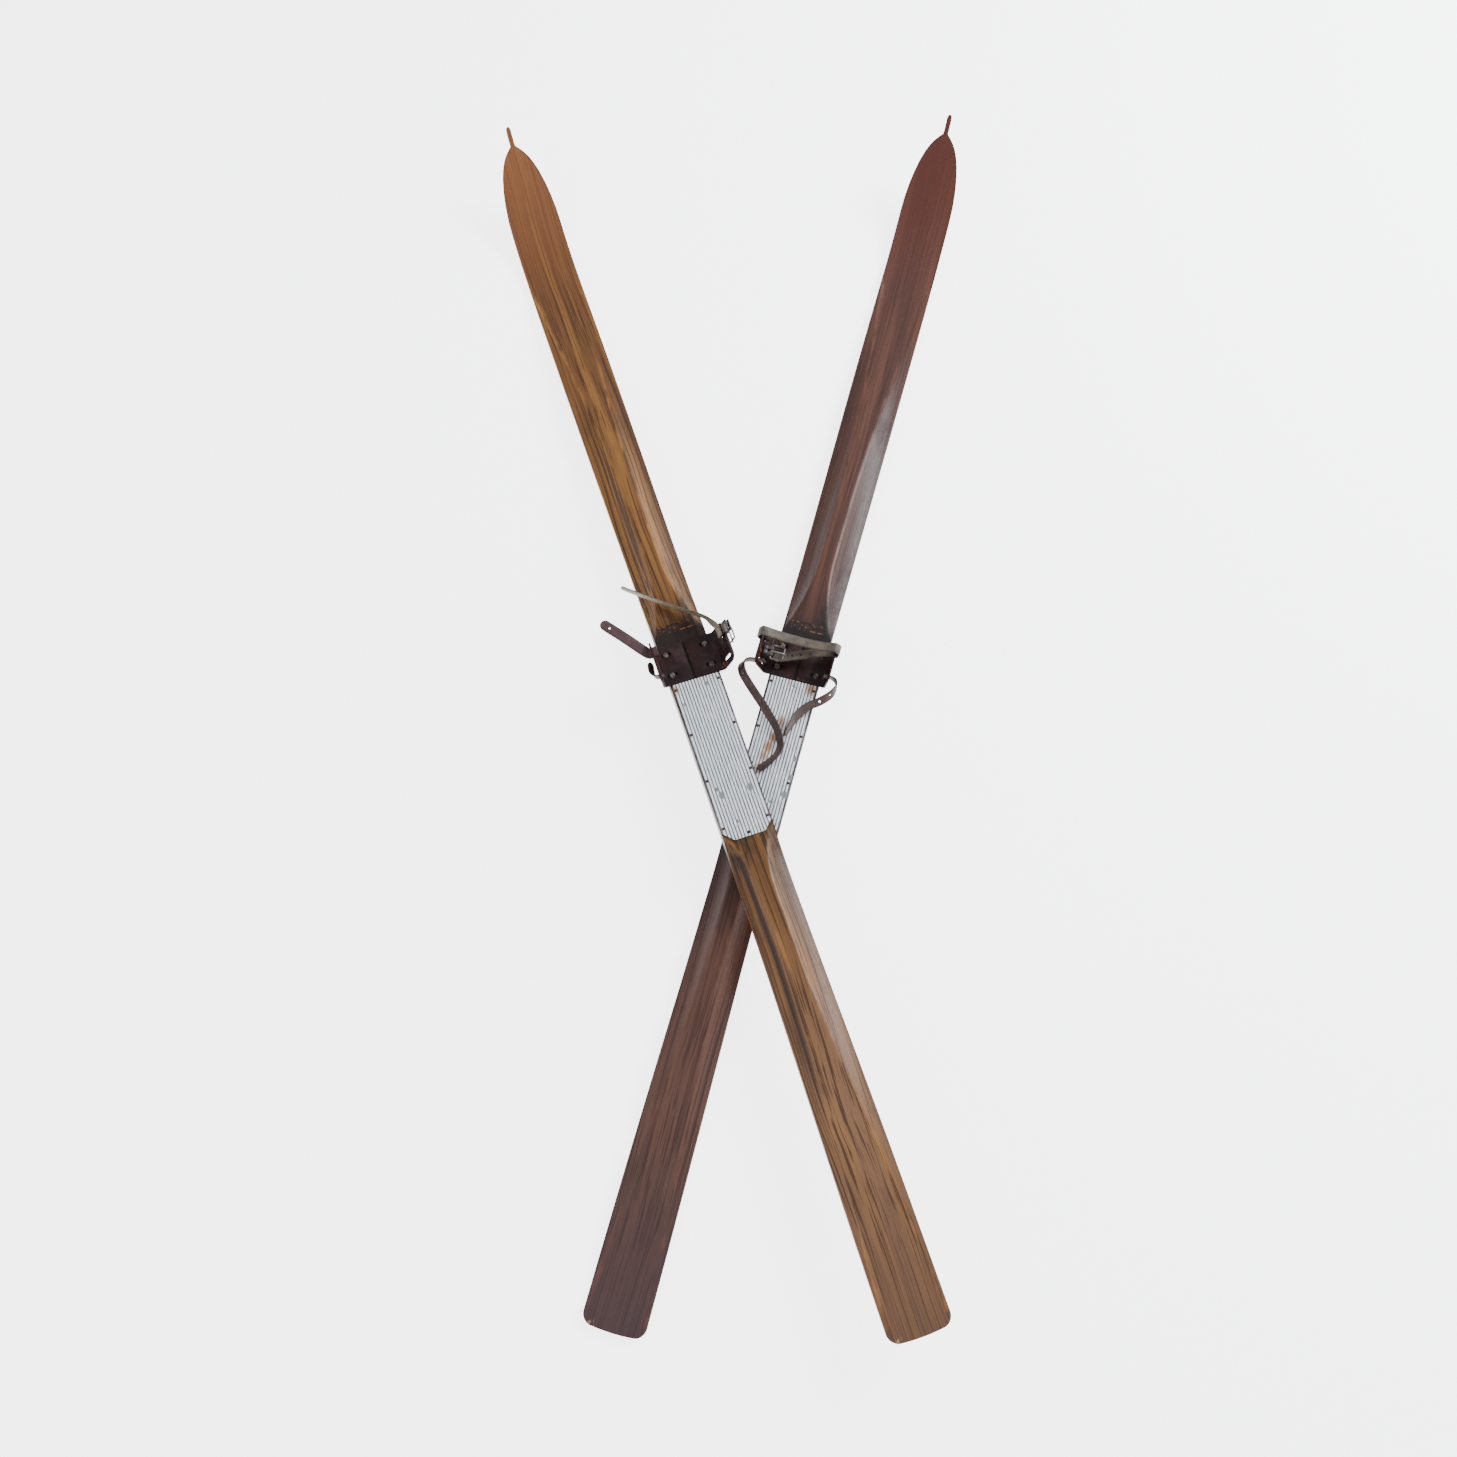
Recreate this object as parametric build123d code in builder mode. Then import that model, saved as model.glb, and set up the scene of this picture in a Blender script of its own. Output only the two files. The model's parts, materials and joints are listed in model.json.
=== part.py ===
from build123d import *
from math import atan2, cos, degrees, hypot, pi, radians, sin, tan
import os

# A pair of old ridge-top wooden skis, lying crossed with the tips away from the viewer.
# Each ski is drawn in its own frame: X across, Y from the tail to the tip, Z up from the
# ground. The lower ski lies flat. The upper one rests on it and on its own shovel.
# Millimetres throughout.

# ---------------------------------------------------------------- driving sizes: the ski
ski_length = 1900.0
tail_half_width = 40.5
waist_half_width = 35.8
shovel_half_width = 42.6
waist_y = 646.0
shovel_y = 1660.0
widest_y = 1700.0
camber = 9.0
foot_thickness = 29.0
tail_thickness = 8.0
shovel_thickness = 10.0
tip_thickness = 8.0
bevel_edge = 12.0
ridge_share = 0.25
lower_tip_rise = 113.0
upper_tip_rise = 115.0
knob_half_width = 3.9
knob_length = 22.0
knob_flare = 0.5
tip_arch_length = 108.0
tip_arch = [(0.935, 0.36), (0.75, 0.665), (0.49, 0.865), (0.23, 0.965)]
tail_bow = 1.9
tail_corner = 13.0
groove_width = 14.0
groove_depth = 2.2
groove_rear = 150.0
groove_front = 1600.0
groove_fade = 90.0
groove_draft = 2.0

# The level foot block, and the two ends of the narrow ridge on each side of it.
block_rear = 646.0
block_front = 952.0
rear_scoop = 104.0
front_scoop = 134.0
rear_ridge_end = 430.0
front_ridge_end = 1200.0

# ---------------------------------------------------------------- driving sizes: fittings
plate_rear = 636.0
plate_half_width = 34.8
plate_gauge = 1.0
plate_corner = 13.5
rib_count = 15
rib_pitch = 4.5
rib_width = 2.5
rib_height = 0.9
nail_radius = 0.9
nail_head_radius = 2.1
nail_head_height = 0.8
nail_length = 11.0
nail_across = 31.5
nail_edge_margin = 9.0
rear_nail_margin = 5.0
nail_rows = 4

iron_rear = 880.0
iron_length = 62.0
iron_half_width = 45.0
iron_gauge = 2.5
iron_bend = 3.0
iron_seam = 4.2
ear_height = 33.0
ear_corner = 11.0
upright_flare = 6.0
open_flare = 27.0
slot_margin = 14.5
adjust_slot_length = 15.0
adjust_slot_width = 5.6
screw_radius = 2.3
screw_head_radius = 4.4
screw_head_height = 2.0
screw_length = 15.0
screw_across = 29.5
screw_slot = 1.0
screw_slot_depth = 0.8
screw_top_radius = 2.7
screw_slot_offset = -1.2

strap_width = 14.0
strap_gauge = 2.4
heel_strap_width = 12.0
side_strap_width = 15.5
long_strap_width = 11.0
long_strap_gauge = 1.8
strap_tip = (0.4, 0.7, 0.9, 0.98)
punch_radius = 1.7
toe_slot_y = 928.0
toe_slot_height = 21.0
heel_slot_y = 890.5
heel_slot_height = 17.5
strap_slot_spare = 4.0
strap_slot_gap = 5.4

buckle_length = 18.0
buckle_width = 21.0
buckle_wire = 1.2
buckle_corner = 3.0
tongue_width = 2.6
tongue_gauge = 1.3
tongue_overrun = 2.5
tongue_mouth = 2.0
chape_width = 13.0
chape_gauge = 1.9
chape_rivet_share = 0.68
rivet_radius = 1.4
rivet_head_radius = 2.2
rivet_head_height = 0.9

# ---------------------------------------------------------------- clearances
plate_gap = 0.5
slide_gap = 0.05
nail_gap = 0.05
rest_gap = 0.2
pivot_gap = 0.06
fold_gap = 0.35
strap_lie = 0.4
rivet_stand = 1.15

# ---------------------------------------------------------------- where the skis lie
lower_tail = (-140.9, -788.7)
lower_heading = 15.47
upper_tail = (229.6, -787.3)
upper_heading = -18.3

# ---------------------------------------------------------------- worked-out levels
deck_z = camber + foot_thickness
plate_top = deck_z + plate_gauge + rib_height
plate_front = iron_rear - plate_gap
iron_front = iron_rear + iron_length
iron_floor = deck_z + slide_gap
iron_middle = iron_floor + iron_gauge / 2
iron_top = iron_floor + iron_gauge
side_gap = iron_seam / 2
nail_front = plate_front - nail_edge_margin
nail_back = plate_rear + plate_corner + 6
tip_length = ski_length - shovel_y


def ease(share):
    """A smooth step from 0 to 1."""
    share = min(max(share, 0.0), 1.0)
    return (1 - cos(pi * share)) / 2


def base_z(y, tip_rise):
    """Height of the running surface: a long camber arch, then the upturned tip."""
    if y < shovel_y:
        return camber * sin(pi * y / shovel_y) ** 2
    return tip_rise * ((y - shovel_y) / tip_length) ** 2


def tip_slope(y, tip_rise):
    """Steepness of the upturned tip."""
    return 2 * tip_rise * max(y - shovel_y, 0.0) / tip_length**2


def half_width(y):
    """Half the ski's width: widest at the shovel, narrowest under the heel."""
    if y < waist_y:
        return waist_half_width + (tail_half_width - waist_half_width) * ease(1 - y / waist_y)
    growth = ease((y - waist_y) / (widest_y - waist_y))
    return waist_half_width + (shovel_half_width - waist_half_width) * growth


def thickness(y, tip_rise):
    """Depth of the wood on the centre line. The foot block has a level top."""
    rear_level = deck_z - base_z(block_rear - rear_scoop, tip_rise)
    front_level = deck_z - base_z(block_front + front_scoop, tip_rise)
    if y < block_rear - rear_scoop:
        return tail_thickness + (rear_level - tail_thickness) * ease(y / (block_rear - rear_scoop))
    if y <= block_front + front_scoop:
        return deck_z - base_z(y, tip_rise)
    if y <= shovel_y:
        fall = ease((y - block_front - front_scoop) / (shovel_y - block_front - front_scoop))
        return front_level + (shovel_thickness - front_level) * fall
    taper = (y - shovel_y) / tip_length
    depth = shovel_thickness + (tip_thickness - shovel_thickness) * taper
    return depth * hypot(1, tip_slope(y, tip_rise))


def ridge(y):
    """Share of the width that the flat top of the ridge takes."""
    if y < rear_ridge_end:
        return ridge_share + (1 - ridge_share) * (1 - y / rear_ridge_end)
    if y < block_rear:
        rise = max(y - (block_rear - rear_scoop), 0.0) / rear_scoop
        return ridge_share + (1 - ridge_share) * rise**3
    if y < block_front:
        return 1.0
    if y < front_ridge_end:
        fall = max(block_front + front_scoop - y, 0.0) / front_scoop
        return ridge_share + (1 - ridge_share) * fall**2
    growth = min((y - front_ridge_end) / (shovel_y - front_ridge_end), 1.0)
    return ridge_share + (1 - ridge_share) * growth**1.6


def edge_depth(y, tip_rise):
    """Depth of the side wall: the bevels fall from the ridge to this."""
    depth = thickness(y, tip_rise)
    bevel = (1 - ridge(y)) / (1 - ridge_share)
    return depth - max(depth - bevel_edge, 0.0) * bevel


def spread(start, end, count):
    """Evenly spaced values, both ends included."""
    return [start + (end - start) * i / (count - 1) for i in range(count)]


def cross_plane(y):
    """An upright plane across the ski."""
    return Plane(origin=(0, y, 0), x_dir=(1, 0, 0), z_dir=(0, -1, 0))


def make_ski(tip_rise):
    """The plank: cross-sections along its length, trimmed to the outline from above."""
    stations = (
        spread(-8, block_rear - rear_scoop, 12)
        + spread(block_rear - rear_scoop, block_rear, 8)[1:]
        + [block_front]
        + spread(block_front, block_front + front_scoop, 8)[1:]
        + spread(block_front + front_scoop, shovel_y, 10)[1:]
        + spread(shovel_y, ski_length + 2, 15)[1:]
    )
    with BuildPart() as ski:
        for y in stations:
            inside = min(max(y, 0.0), ski_length)
            wide = half_width(inside) + 3
            floor = base_z(y, tip_rise)
            top = floor + thickness(y, tip_rise)
            brim = floor + edge_depth(y, tip_rise)
            flat = ridge(inside) * half_width(inside)
            with BuildSketch(cross_plane(y)):
                Polygon(
                    (-wide, floor),
                    (wide, floor),
                    (wide, brim),
                    (flat, top),
                    (-flat, top),
                    (-wide, brim),
                    align=None,
                )
        loft(ruled=True)
        # The outline: bowed tail, waisted sides, pointed tip with its peg.
        arch_foot = ski_length - knob_length - tip_arch_length
        side_stations = spread(tail_corner, arch_foot - tip_arch_length / 3, 9)
        sides = [(half_width(y), y) for y in side_stations]
        sides += [(shovel_half_width * w, arch_foot + tip_arch_length * t) for w, t in tip_arch]
        sides += [(knob_half_width + knob_flare, ski_length - knob_length)]
        with BuildSketch(Plane.XY) as outline:
            with BuildLine():
                Spline(*sides)
                Line(sides[-1], (knob_half_width, ski_length - knob_half_width))
                ThreePointArc(
                    (knob_half_width, ski_length - knob_half_width),
                    (0, ski_length),
                    (-knob_half_width, ski_length - knob_half_width),
                )
                Line((-knob_half_width, ski_length - knob_half_width), (-sides[-1][0], sides[-1][1]))
                Spline(*[(-x, y) for x, y in reversed(sides)])
                inner = tail_half_width - tail_corner
                corner_cut = tail_corner * (1 - cos(pi / 4))
                corner_x = tail_half_width - corner_cut
                corner_y = corner_cut + tail_bow / 3
                ThreePointArc((-sides[0][0], sides[0][1]), (-corner_x, corner_y), (-inner, tail_bow))
                ThreePointArc((-inner, tail_bow), (0, 0), (inner, tail_bow))
                ThreePointArc((inner, tail_bow), (corner_x, corner_y), sides[0])
            make_face()
        extrude(amount=300, both=True, mode=Mode.INTERSECT)
        # The groove along the running surface.
        for y in spread(groove_rear, groove_front, 16):
            floor = base_z(y, tip_rise)
            run_in = (min(y - groove_rear, groove_front - y) + 1) / groove_fade
            depth = groove_depth * min(1.0, run_in)
            with BuildSketch(cross_plane(y)):
                Polygon(
                    (-groove_width / 2, floor - 1),
                    (groove_width / 2, floor - 1),
                    (groove_width / 2 - groove_draft, floor + depth),
                    (groove_draft - groove_width / 2, floor + depth),
                    align=None,
                )
        loft(ruled=True, mode=Mode.SUBTRACT)
        # Holes for the nails and the screws.
        with BuildSketch(Plane.XY.offset(deck_z)):
            with Locations(*nail_points()):
                Circle(nail_radius + nail_gap)
        extrude(amount=-nail_length, mode=Mode.SUBTRACT)
        with BuildSketch(Plane.XY.offset(deck_z)):
            with Locations(*screw_points()):
                Circle(screw_radius + nail_gap)
        extrude(amount=-screw_length, mode=Mode.SUBTRACT)
    return ski.part


def nail_points():
    """Rows of nails down both edges of the plate, and one at the middle of its rear end."""
    rows = spread(nail_back, nail_front, nail_rows)
    return [(side * nail_across, y) for y in rows for side in (-1, 1)] + [(0, plate_rear + rear_nail_margin)]


def screw_points():
    """Two screws through the slots of each toe iron half."""
    rows = (iron_rear + slot_margin, iron_front - slot_margin)
    return [(side * screw_across, y) for y in rows for side in (-1, 1)]


def make_plate():
    """The ribbed sheet under the boot, its rear corners clipped."""
    length = plate_front - plate_rear
    with BuildPart() as plate:
        with BuildSketch(cross_plane(plate_rear)):
            with Locations((0, deck_z + plate_gauge / 2)):
                Rectangle(2 * plate_half_width, plate_gauge)
            with Locations((0, deck_z + plate_gauge)):
                with GridLocations(rib_pitch, 1, rib_count, 1):
                    Trapezoid(rib_width, 2 * rib_height, 70)
        extrude(amount=-length)
        with BuildSketch(Plane.XY.offset(deck_z)):
            for side in (-1, 1):
                Polygon(
                    (side * plate_half_width, plate_rear),
                    (side * (plate_half_width - plate_corner), plate_rear),
                    (side * plate_half_width, plate_rear + plate_corner),
                    align=None,
                )
        extrude(amount=10, mode=Mode.SUBTRACT)
        with BuildSketch(Plane.XY.offset(deck_z)):
            with Locations(*nail_points()):
                Circle(nail_radius + nail_gap)
        extrude(amount=10, mode=Mode.SUBTRACT)
    return plate.part


hanging = (Align.CENTER, Align.CENTER, Align.MAX)
standing = (Align.CENTER, Align.CENTER, Align.MIN)


def make_nails():
    """Small domed nails, each driven through the plate into the wood."""
    with BuildPart() as nails:
        for x, y in nail_points():
            with Locations((x, y, plate_top)):
                Cylinder(nail_radius, plate_top - deck_z + nail_length - 1, align=hanging)
                Cylinder(nail_head_radius, nail_head_height, align=standing)
    return nails.part


def make_screws():
    """Slotted wood screws that clamp the toe irons down."""
    with BuildPart() as screws:
        for x, y in screw_points():
            with Locations((x, y, iron_top + slide_gap)):
                Cylinder(screw_radius, iron_top - deck_z + screw_length - 1, align=hanging)
                Cone(screw_head_radius, screw_top_radius, screw_head_height, align=standing)
            with Locations((x, y, iron_top + slide_gap + screw_head_height)):
                Box(
                    screw_slot, 3 * screw_head_radius, 2 * screw_slot_depth,
                    rotation=(0, 0, 35 + y), mode=Mode.SUBTRACT,
                )
    return screws.part


def ear_plane(side, flare, height, y):
    """A plane on a toe iron's ear, facing outwards, its second axis up the ear."""
    lean = radians(flare)
    return Plane(
        origin=(side * (iron_half_width + height * sin(lean)), y, iron_middle + height * cos(lean)),
        x_dir=(0, side, 0),
        z_dir=(side * cos(lean), 0, -sin(lean)),
    )


def make_iron(side, flare):
    """One half of a toe iron: a slotted floor and an upturned ear with two strap slots."""
    lean = radians(flare)
    ear_foot = (side * iron_half_width, iron_middle)
    ear_tip = (side * (iron_half_width + ear_height * sin(lean)), iron_middle + ear_height * cos(lean))
    with BuildPart() as iron:
        with BuildSketch(cross_plane(iron_rear)):
            with BuildLine():
                FilletPolyline((side * side_gap, iron_middle), ear_foot, ear_tip, radius=iron_bend)
            trace(line_width=iron_gauge)
        extrude(amount=-iron_length)
        outward = ear_plane(side, flare, 0, iron_rear).z_dir
        corners = [
            e for e in iron.edges()
            if abs(e.tangent_at(0.5).dot(outward)) > 0.99 and e.center().Z > iron_floor + ear_height * 0.7
        ]
        fillet(corners, ear_corner)
        with BuildSketch(Plane.XY.offset(iron_floor - 1)):
            for y in (iron_rear + slot_margin, iron_front - slot_margin):
                with Locations((side * (screw_across + screw_slot_offset), y)):
                    SlotOverall(adjust_slot_length, adjust_slot_width)
        extrude(amount=iron_gauge + 2, mode=Mode.SUBTRACT)
        with BuildSketch(ear_plane(side, flare, toe_slot_height, toe_slot_y)):
            SlotOverall(strap_width + strap_slot_spare, strap_slot_gap)
        extrude(amount=6, both=True, mode=Mode.SUBTRACT)
        with BuildSketch(ear_plane(side, flare, heel_slot_height, heel_slot_y)):
            SlotOverall(strap_width + strap_slot_spare, strap_slot_gap, rotation=90)
        extrude(amount=6, both=True, mode=Mode.SUBTRACT)
    return iron.part


def strap_plane(points, across, i):
    """The plane of a strap's flat side at one of its points."""
    ahead = Vector(*points[min(i + 1, len(points) - 1)])
    behind = Vector(*points[max(i - 1, 0)])
    along = (ahead - behind).normalized()
    wide = Vector(*across[i])
    wide = (wide - along * wide.dot(along)).normalized()
    return Plane(origin=Vector(*points[i]), x_dir=wide, z_dir=wide.cross(along))


def make_strap(points, across, width, gauge, holes=(), hole_radius=punch_radius):
    """A leather strap: its middle line, and at each point the direction of its width.
    The last point is the free end, cut to a round tip, and holes lists the points where
    it is punched."""
    with BuildPart() as strap:
        for i in range(len(points)):
            flat = strap_plane(points, across, i)
            with BuildSketch(Plane(origin=flat.origin, x_dir=flat.x_dir, z_dir=flat.y_dir)):
                Rectangle(width, gauge)
        for share in strap_tip:
            tip = flat.origin + flat.y_dir * (share * width / 2)
            with BuildSketch(Plane(origin=tip, x_dir=flat.x_dir, z_dir=flat.y_dir)):
                Rectangle(width * (1 - share**2) ** 0.5, gauge)
        loft(ruled=True)
        for i in holes:
            with BuildSketch(strap_plane(points, across, i)):
                Circle(hole_radius)
            extrude(amount=gauge * 2, both=True, mode=Mode.SUBTRACT)
    return strap.part


def make_strap_rivets(points, across, gauge, holes):
    """Rivets through a strap, headed on both faces."""
    with BuildPart() as rivets:
        for i in holes:
            flat = strap_plane(points, across, i)
            with BuildSketch(flat):
                Circle(rivet_radius)
            extrude(amount=gauge / 2 + rivet_stand + 0.1, both=True)
            stand = gauge / 2 + rivet_stand
            for lift in (stand, -stand - rivet_head_height):
                with BuildSketch(flat.offset(lift)):
                    Circle(rivet_head_radius)
                extrude(amount=rivet_head_height)
    return rivets.part


def make_frame(plane):
    """A buckle's wire frame. The plane's origin is the middle of the bar that the chape
    holds, its first axis runs along that bar and its second towards the far bar."""
    half = buckle_width / 2
    with BuildPart() as frame:
        with BuildLine(plane) as wire:
            FilletPolyline(
                (-half, 0), (half, 0), (half, buckle_length), (-half, buckle_length),
                radius=buckle_corner, close=True,
            )
        with BuildSketch(Plane(origin=wire.line @ 0, z_dir=wire.line % 0)):
            Circle(buckle_wire)
        sweep()
    return frame.part


def make_tongue(plane):
    """A buckle's tongue: an eye round the bar and a pin that rests on the far bar."""
    rest = buckle_wire + pivot_gap
    eye = Plane(origin=plane.origin, x_dir=plane.y_dir, z_dir=plane.x_dir)
    with BuildPart() as tongue:
        with BuildSketch(eye):
            Circle(rest + tongue_gauge)
            with BuildLine():
                Polyline(
                    (0, rest),
                    (buckle_length + tongue_overrun, rest + 0.1),
                    (buckle_length + tongue_overrun, rest + 1.0),
                    (0, rest + tongue_gauge),
                    close=True,
                )
            make_face()
            Circle(rest, mode=Mode.SUBTRACT)
        extrude(amount=tongue_width / 2, both=True)
    return tongue.part


def make_chape(plane, reach):
    """The leather that holds a buckle: folded round its bar, the two layers riveted
    together. It runs back from the bar by reach, with a mouth for the tongue."""
    radius = buckle_wire + fold_gap + chape_gauge / 2
    side_view = Plane(origin=plane.origin, x_dir=plane.y_dir, z_dir=plane.x_dir)
    with BuildPart() as chape:
        with BuildSketch(side_view):
            with BuildLine():
                Line((-reach, radius), (0, radius))
                ThreePointArc((0, radius), (radius, 0), (0, -radius))
                Line((0, -radius), (-reach, -radius))
            trace(line_width=chape_gauge)
        extrude(amount=chape_width / 2, both=True)
        with BuildSketch(plane):
            Rectangle(tongue_width + tongue_mouth, 2 * radius + 6)
        extrude(amount=20, both=True, mode=Mode.SUBTRACT)
        with BuildSketch(plane):
            with Locations(*chape_rivets(reach)):
                Circle(rivet_radius + nail_gap)
        extrude(amount=20, both=True, mode=Mode.SUBTRACT)
    return chape.part


def chape_rivets(reach):
    """Where the two rivets pass through a chape."""
    return [(side * chape_width * 0.27, -reach * chape_rivet_share) for side in (-1, 1)]


def make_rivets(plane, reach):
    """Rivets through both layers of a chape, headed on both faces."""
    half = buckle_wire + fold_gap + chape_gauge
    with BuildPart() as rivets:
        with BuildSketch(plane):
            with Locations(*chape_rivets(reach)):
                Circle(rivet_radius)
        extrude(amount=half + 0.5, both=True)
        for lift in (half, -half - rivet_head_height):
            with BuildSketch(plane.offset(lift)):
                with Locations(*chape_rivets(reach)):
                    Circle(rivet_head_radius)
            extrude(amount=rivet_head_height)
    return rivets.part


# ---------------------------------------------------------------- the two skis' places
lower_place = Location((lower_tail[0], lower_tail[1], 0), (0, 0, -lower_heading))

# The upper ski pivots on its shovel and leans on the lower one's foot plate, at the tip
# end of the diamond where the two planks overlap.
half_angle = radians((lower_heading - upper_heading) / 2)
gap_x = upper_tail[0] - lower_tail[0]
crossing_y = gap_x * cos(radians(lower_heading)) / sin(2 * half_angle)
contact_y = crossing_y + waist_half_width / tan(half_angle)
lean = (plate_top + nail_head_height + rest_gap - base_z(contact_y, 0)) / (shovel_y - contact_y)
shovel_dip = lean**2 * tip_length**2 / (4 * upper_tip_rise)
upper_pitch = Location((0, shovel_y, shovel_dip), (-degrees(atan2(lean, 1)), 0, 0))
upper_yaw = Location((upper_tail[0], upper_tail[1], 0), (0, 0, -upper_heading))
upper_place = upper_yaw * upper_pitch * Location((0, -shovel_y, 0))

pieces = {}


def add(name, solid, place):
    """Keep a finished piece under its name, moved to where its ski lies."""
    pieces[name] = solid.moved(place)


for name, place, tip_rise, left_flare, right_flare in (
    ("lower", lower_place, lower_tip_rise, open_flare, upright_flare),
    ("upper", upper_place, upper_tip_rise, upright_flare, open_flare),
):
    add(f"{name}_ski", make_ski(tip_rise), place)
    add(f"{name}_foot_plate", make_plate(), place)
    add(f"{name}_plate_nails", make_nails(), place)
    add(f"{name}_iron_screws", make_screws(), place)
    add(f"{name}_toe_iron_left", make_iron(-1, left_flare), place)
    add(f"{name}_toe_iron_right", make_iron(1, right_flare), place)


# ---------------------------------------------------------------- the straps and buckles


def by_ear(side, flare, height, out, y):
    """A point beside a toe iron's ear: so far up it, and so far outwards from its middle."""
    spot = ear_plane(side, flare, height, y)
    return tuple(spot.origin + spot.z_dir * out)


def ear_up(side, flare):
    """The direction that runs up an ear."""
    return (side * sin(radians(flare)), 0, cos(radians(flare)))


crosswise = (0, 1, 0)
upright = (0, 0, 1)
loose_wrap = [
    (-9, 20), (-3, toe_slot_height), (3.2, toe_slot_height), (5.9, 23.5),
    (7.0, 29), (5.6, 34.6), (1, 38), (-5, 38.4),
]
tight_wrap = [
    (-5, 38.4), (1, 37.7), (4.6, 34.2), (5.2, 29), (4.6, 24), (3.2, toe_slot_height), (-3, toe_slot_height),
]

# Lower ski: one toe strap. It wraps the top of the left ear, crosses, goes round the top of
# the right ear and comes back through its slot, and the punched end lies loose inside.
toe_left = [by_ear(-1, open_flare, up, out, toe_slot_y) for out, up in loose_wrap]
toe_right = [by_ear(1, upright_flare, up, out, toe_slot_y) for out, up in tight_wrap]
toe_across = [(x, toe_slot_y, z) for x, z in ((-36, 71.5), (-14, 69.5), (10, 69.5), (30, 72.5))]
toe_return = [
    (30, 925, 58), (14, 919, 56.4), (1, 914, 55.2), (-11, 909.5, 54.6), (-22, 905, 54.3), (-30, 902, 54.3),
]
toe_points = toe_left + toe_across + toe_right + toe_return
toe_widths = [crosswise] * (len(toe_points) - 5) + [(0.28, 1, 0), (0.38, 1, 0)] + [(0.42, 1, 0)] * 3
last = len(toe_points) - 1
toe_strap = make_strap(toe_points, toe_widths, strap_width, strap_gauge, (last - 4, last - 3, last - 2))
add("lower_toe_strap", toe_strap, lower_place)

# Lower ski: the heel strap's two ends. Each passes through the slot at the back of an ear
# and hangs back over the foot plate, half on edge. The left one ends on the plate.
heel_rest = plate_top + strap_lie
left_root = [by_ear(-1, open_flare, heel_slot_height, out, heel_slot_y) for out in (-7, 0, 6)]
left_run = [
    (-68, 889, 53), (-75.5, 884, 53), (-77, 875, 52.7), (-72, 865.5, 52), (-64, 857, 51.3),
    (-53, 846.5, 50.5), (-36, 831, 49), (-20, 815.5, 48), (-6, 801, 47.3), (3, 786, 46.8),
    (7, 775, 46.3), (5, 762, 45.6), (-3, 748, 44.6), (-10, 739, 43.8),
]
left_widths = [ear_up(-1, open_flare)] * 3
left_widths += [(0.1, 0.1, 1), (0.5, 0.2, 1), (1, 0.2, 0.8), (1, 0.5, 0.5), (1, 0.75, 0.4), (1, 0.9, 0.45)]
left_widths += [(1, 0.9, 0.7), (0.8, 0.8, 0.9), (0.7, 0.6, 1), (0.8, 0.5, 1), (0.9, 0.4, 1), (1, 0.2, 0.9)]
left_widths += [(1, -0.2, 0.7), (1, -0.6, 0.5)]
heel_holes = (5, 6)
left_points = left_root + left_run
heel_left = make_strap(
    left_points, left_widths, heel_strap_width, strap_gauge, heel_holes, rivet_radius + nail_gap
)
heel_rivets = make_strap_rivets(left_points, left_widths, strap_gauge, heel_holes)
add("lower_heel_strap_left", heel_left, lower_place)
add("lower_heel_rivets", heel_rivets, lower_place)
right_root = [by_ear(1, upright_flare, heel_slot_height, out, heel_slot_y) for out in (-7, 0, 6)]
right_run = [
    (59, 887, 55.5), (61, 879, 54.5), (56, 866, 53), (44, 853, 51.5), (29, 841, 50.3), (19, 826, 49.6),
    (13.5, 810, 49.2), (10.5, 797, 48.8),
]
right_points = right_root + right_run
right_widths = [ear_up(1, upright_flare)] * 3
right_widths += [(0, 0.1, 1), (-0.1, 0.3, 1), (-0.5, 0.5, 0.8), (-0.75, 0.8, 0.5), (-0.8, 0.8, 0.5)]
right_widths += [(-0.8, 0.5, 0.6), (-0.5, 0.1, 0.9), (-0.3, 0, 1)]
heel_right = make_strap(right_points, right_widths, heel_strap_width, strap_gauge, (4, 5, 6))
add("lower_heel_strap_right", heel_right, lower_place)

# Lower ski: the buckle on a chape beside the left ear, over the toe strap's punched end.
lower_bar = (-41.0, 905.5, 60.8)
lower_reach = 11.0
lower_buckle = Plane(origin=lower_bar, x_dir=(0, -1, 0), z_dir=upright)
add("lower_buckle_chape", make_chape(lower_buckle, lower_reach), lower_place)
add("lower_chape_rivets", make_rivets(lower_buckle, lower_reach), lower_place)
add("lower_buckle_frame", make_frame(lower_buckle), lower_place)
add("lower_buckle_tongue", make_tongue(lower_buckle), lower_place)

# Upper ski: a stiff punched strap through the left ear's slot, standing out forwards.
side_points = [by_ear(-1, upright_flare, toe_slot_height, out, toe_slot_y) for out in (-8, -1, 5)]
side_points += [(-60, 937, 60.8), (-72, 953, 62.6), (-84, 968.5, 64.2), (-94, 981, 65.4), (-98.5, 987, 66)]
side_widths = [crosswise] * 3 + [(0.6, 0.75, 0)] + [(0.77, 0.62, 0)] * 4
side_strap = make_strap(side_points, side_widths, side_strap_width, strap_gauge, (6,))
add("upper_strap_left", side_strap, upper_place)

# Upper ski: the stub of its heel strap, out through the left ear's rear slot and along
# the ear's outside towards the other strap.
stub_run = [
    (-6, 17.5, 890.5), (0, 17.5, 890.5), (5.5, 17.5, 891.5),
    (9, 17.8, 896.5), (9.6, 18.2, 903), (8.4, 18.6, 909.5),
]
stub_points = [by_ear(-1, upright_flare, up, out, y) for out, up, y in stub_run]
stub_widths = [ear_up(-1, upright_flare)] * 3 + [(-0.5, 0, 1), (-0.8, 0, 1), (-0.8, 0, 1)]
add("upper_heel_stub", make_strap(stub_points, stub_widths, heel_strap_width, strap_gauge), upper_place)

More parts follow.
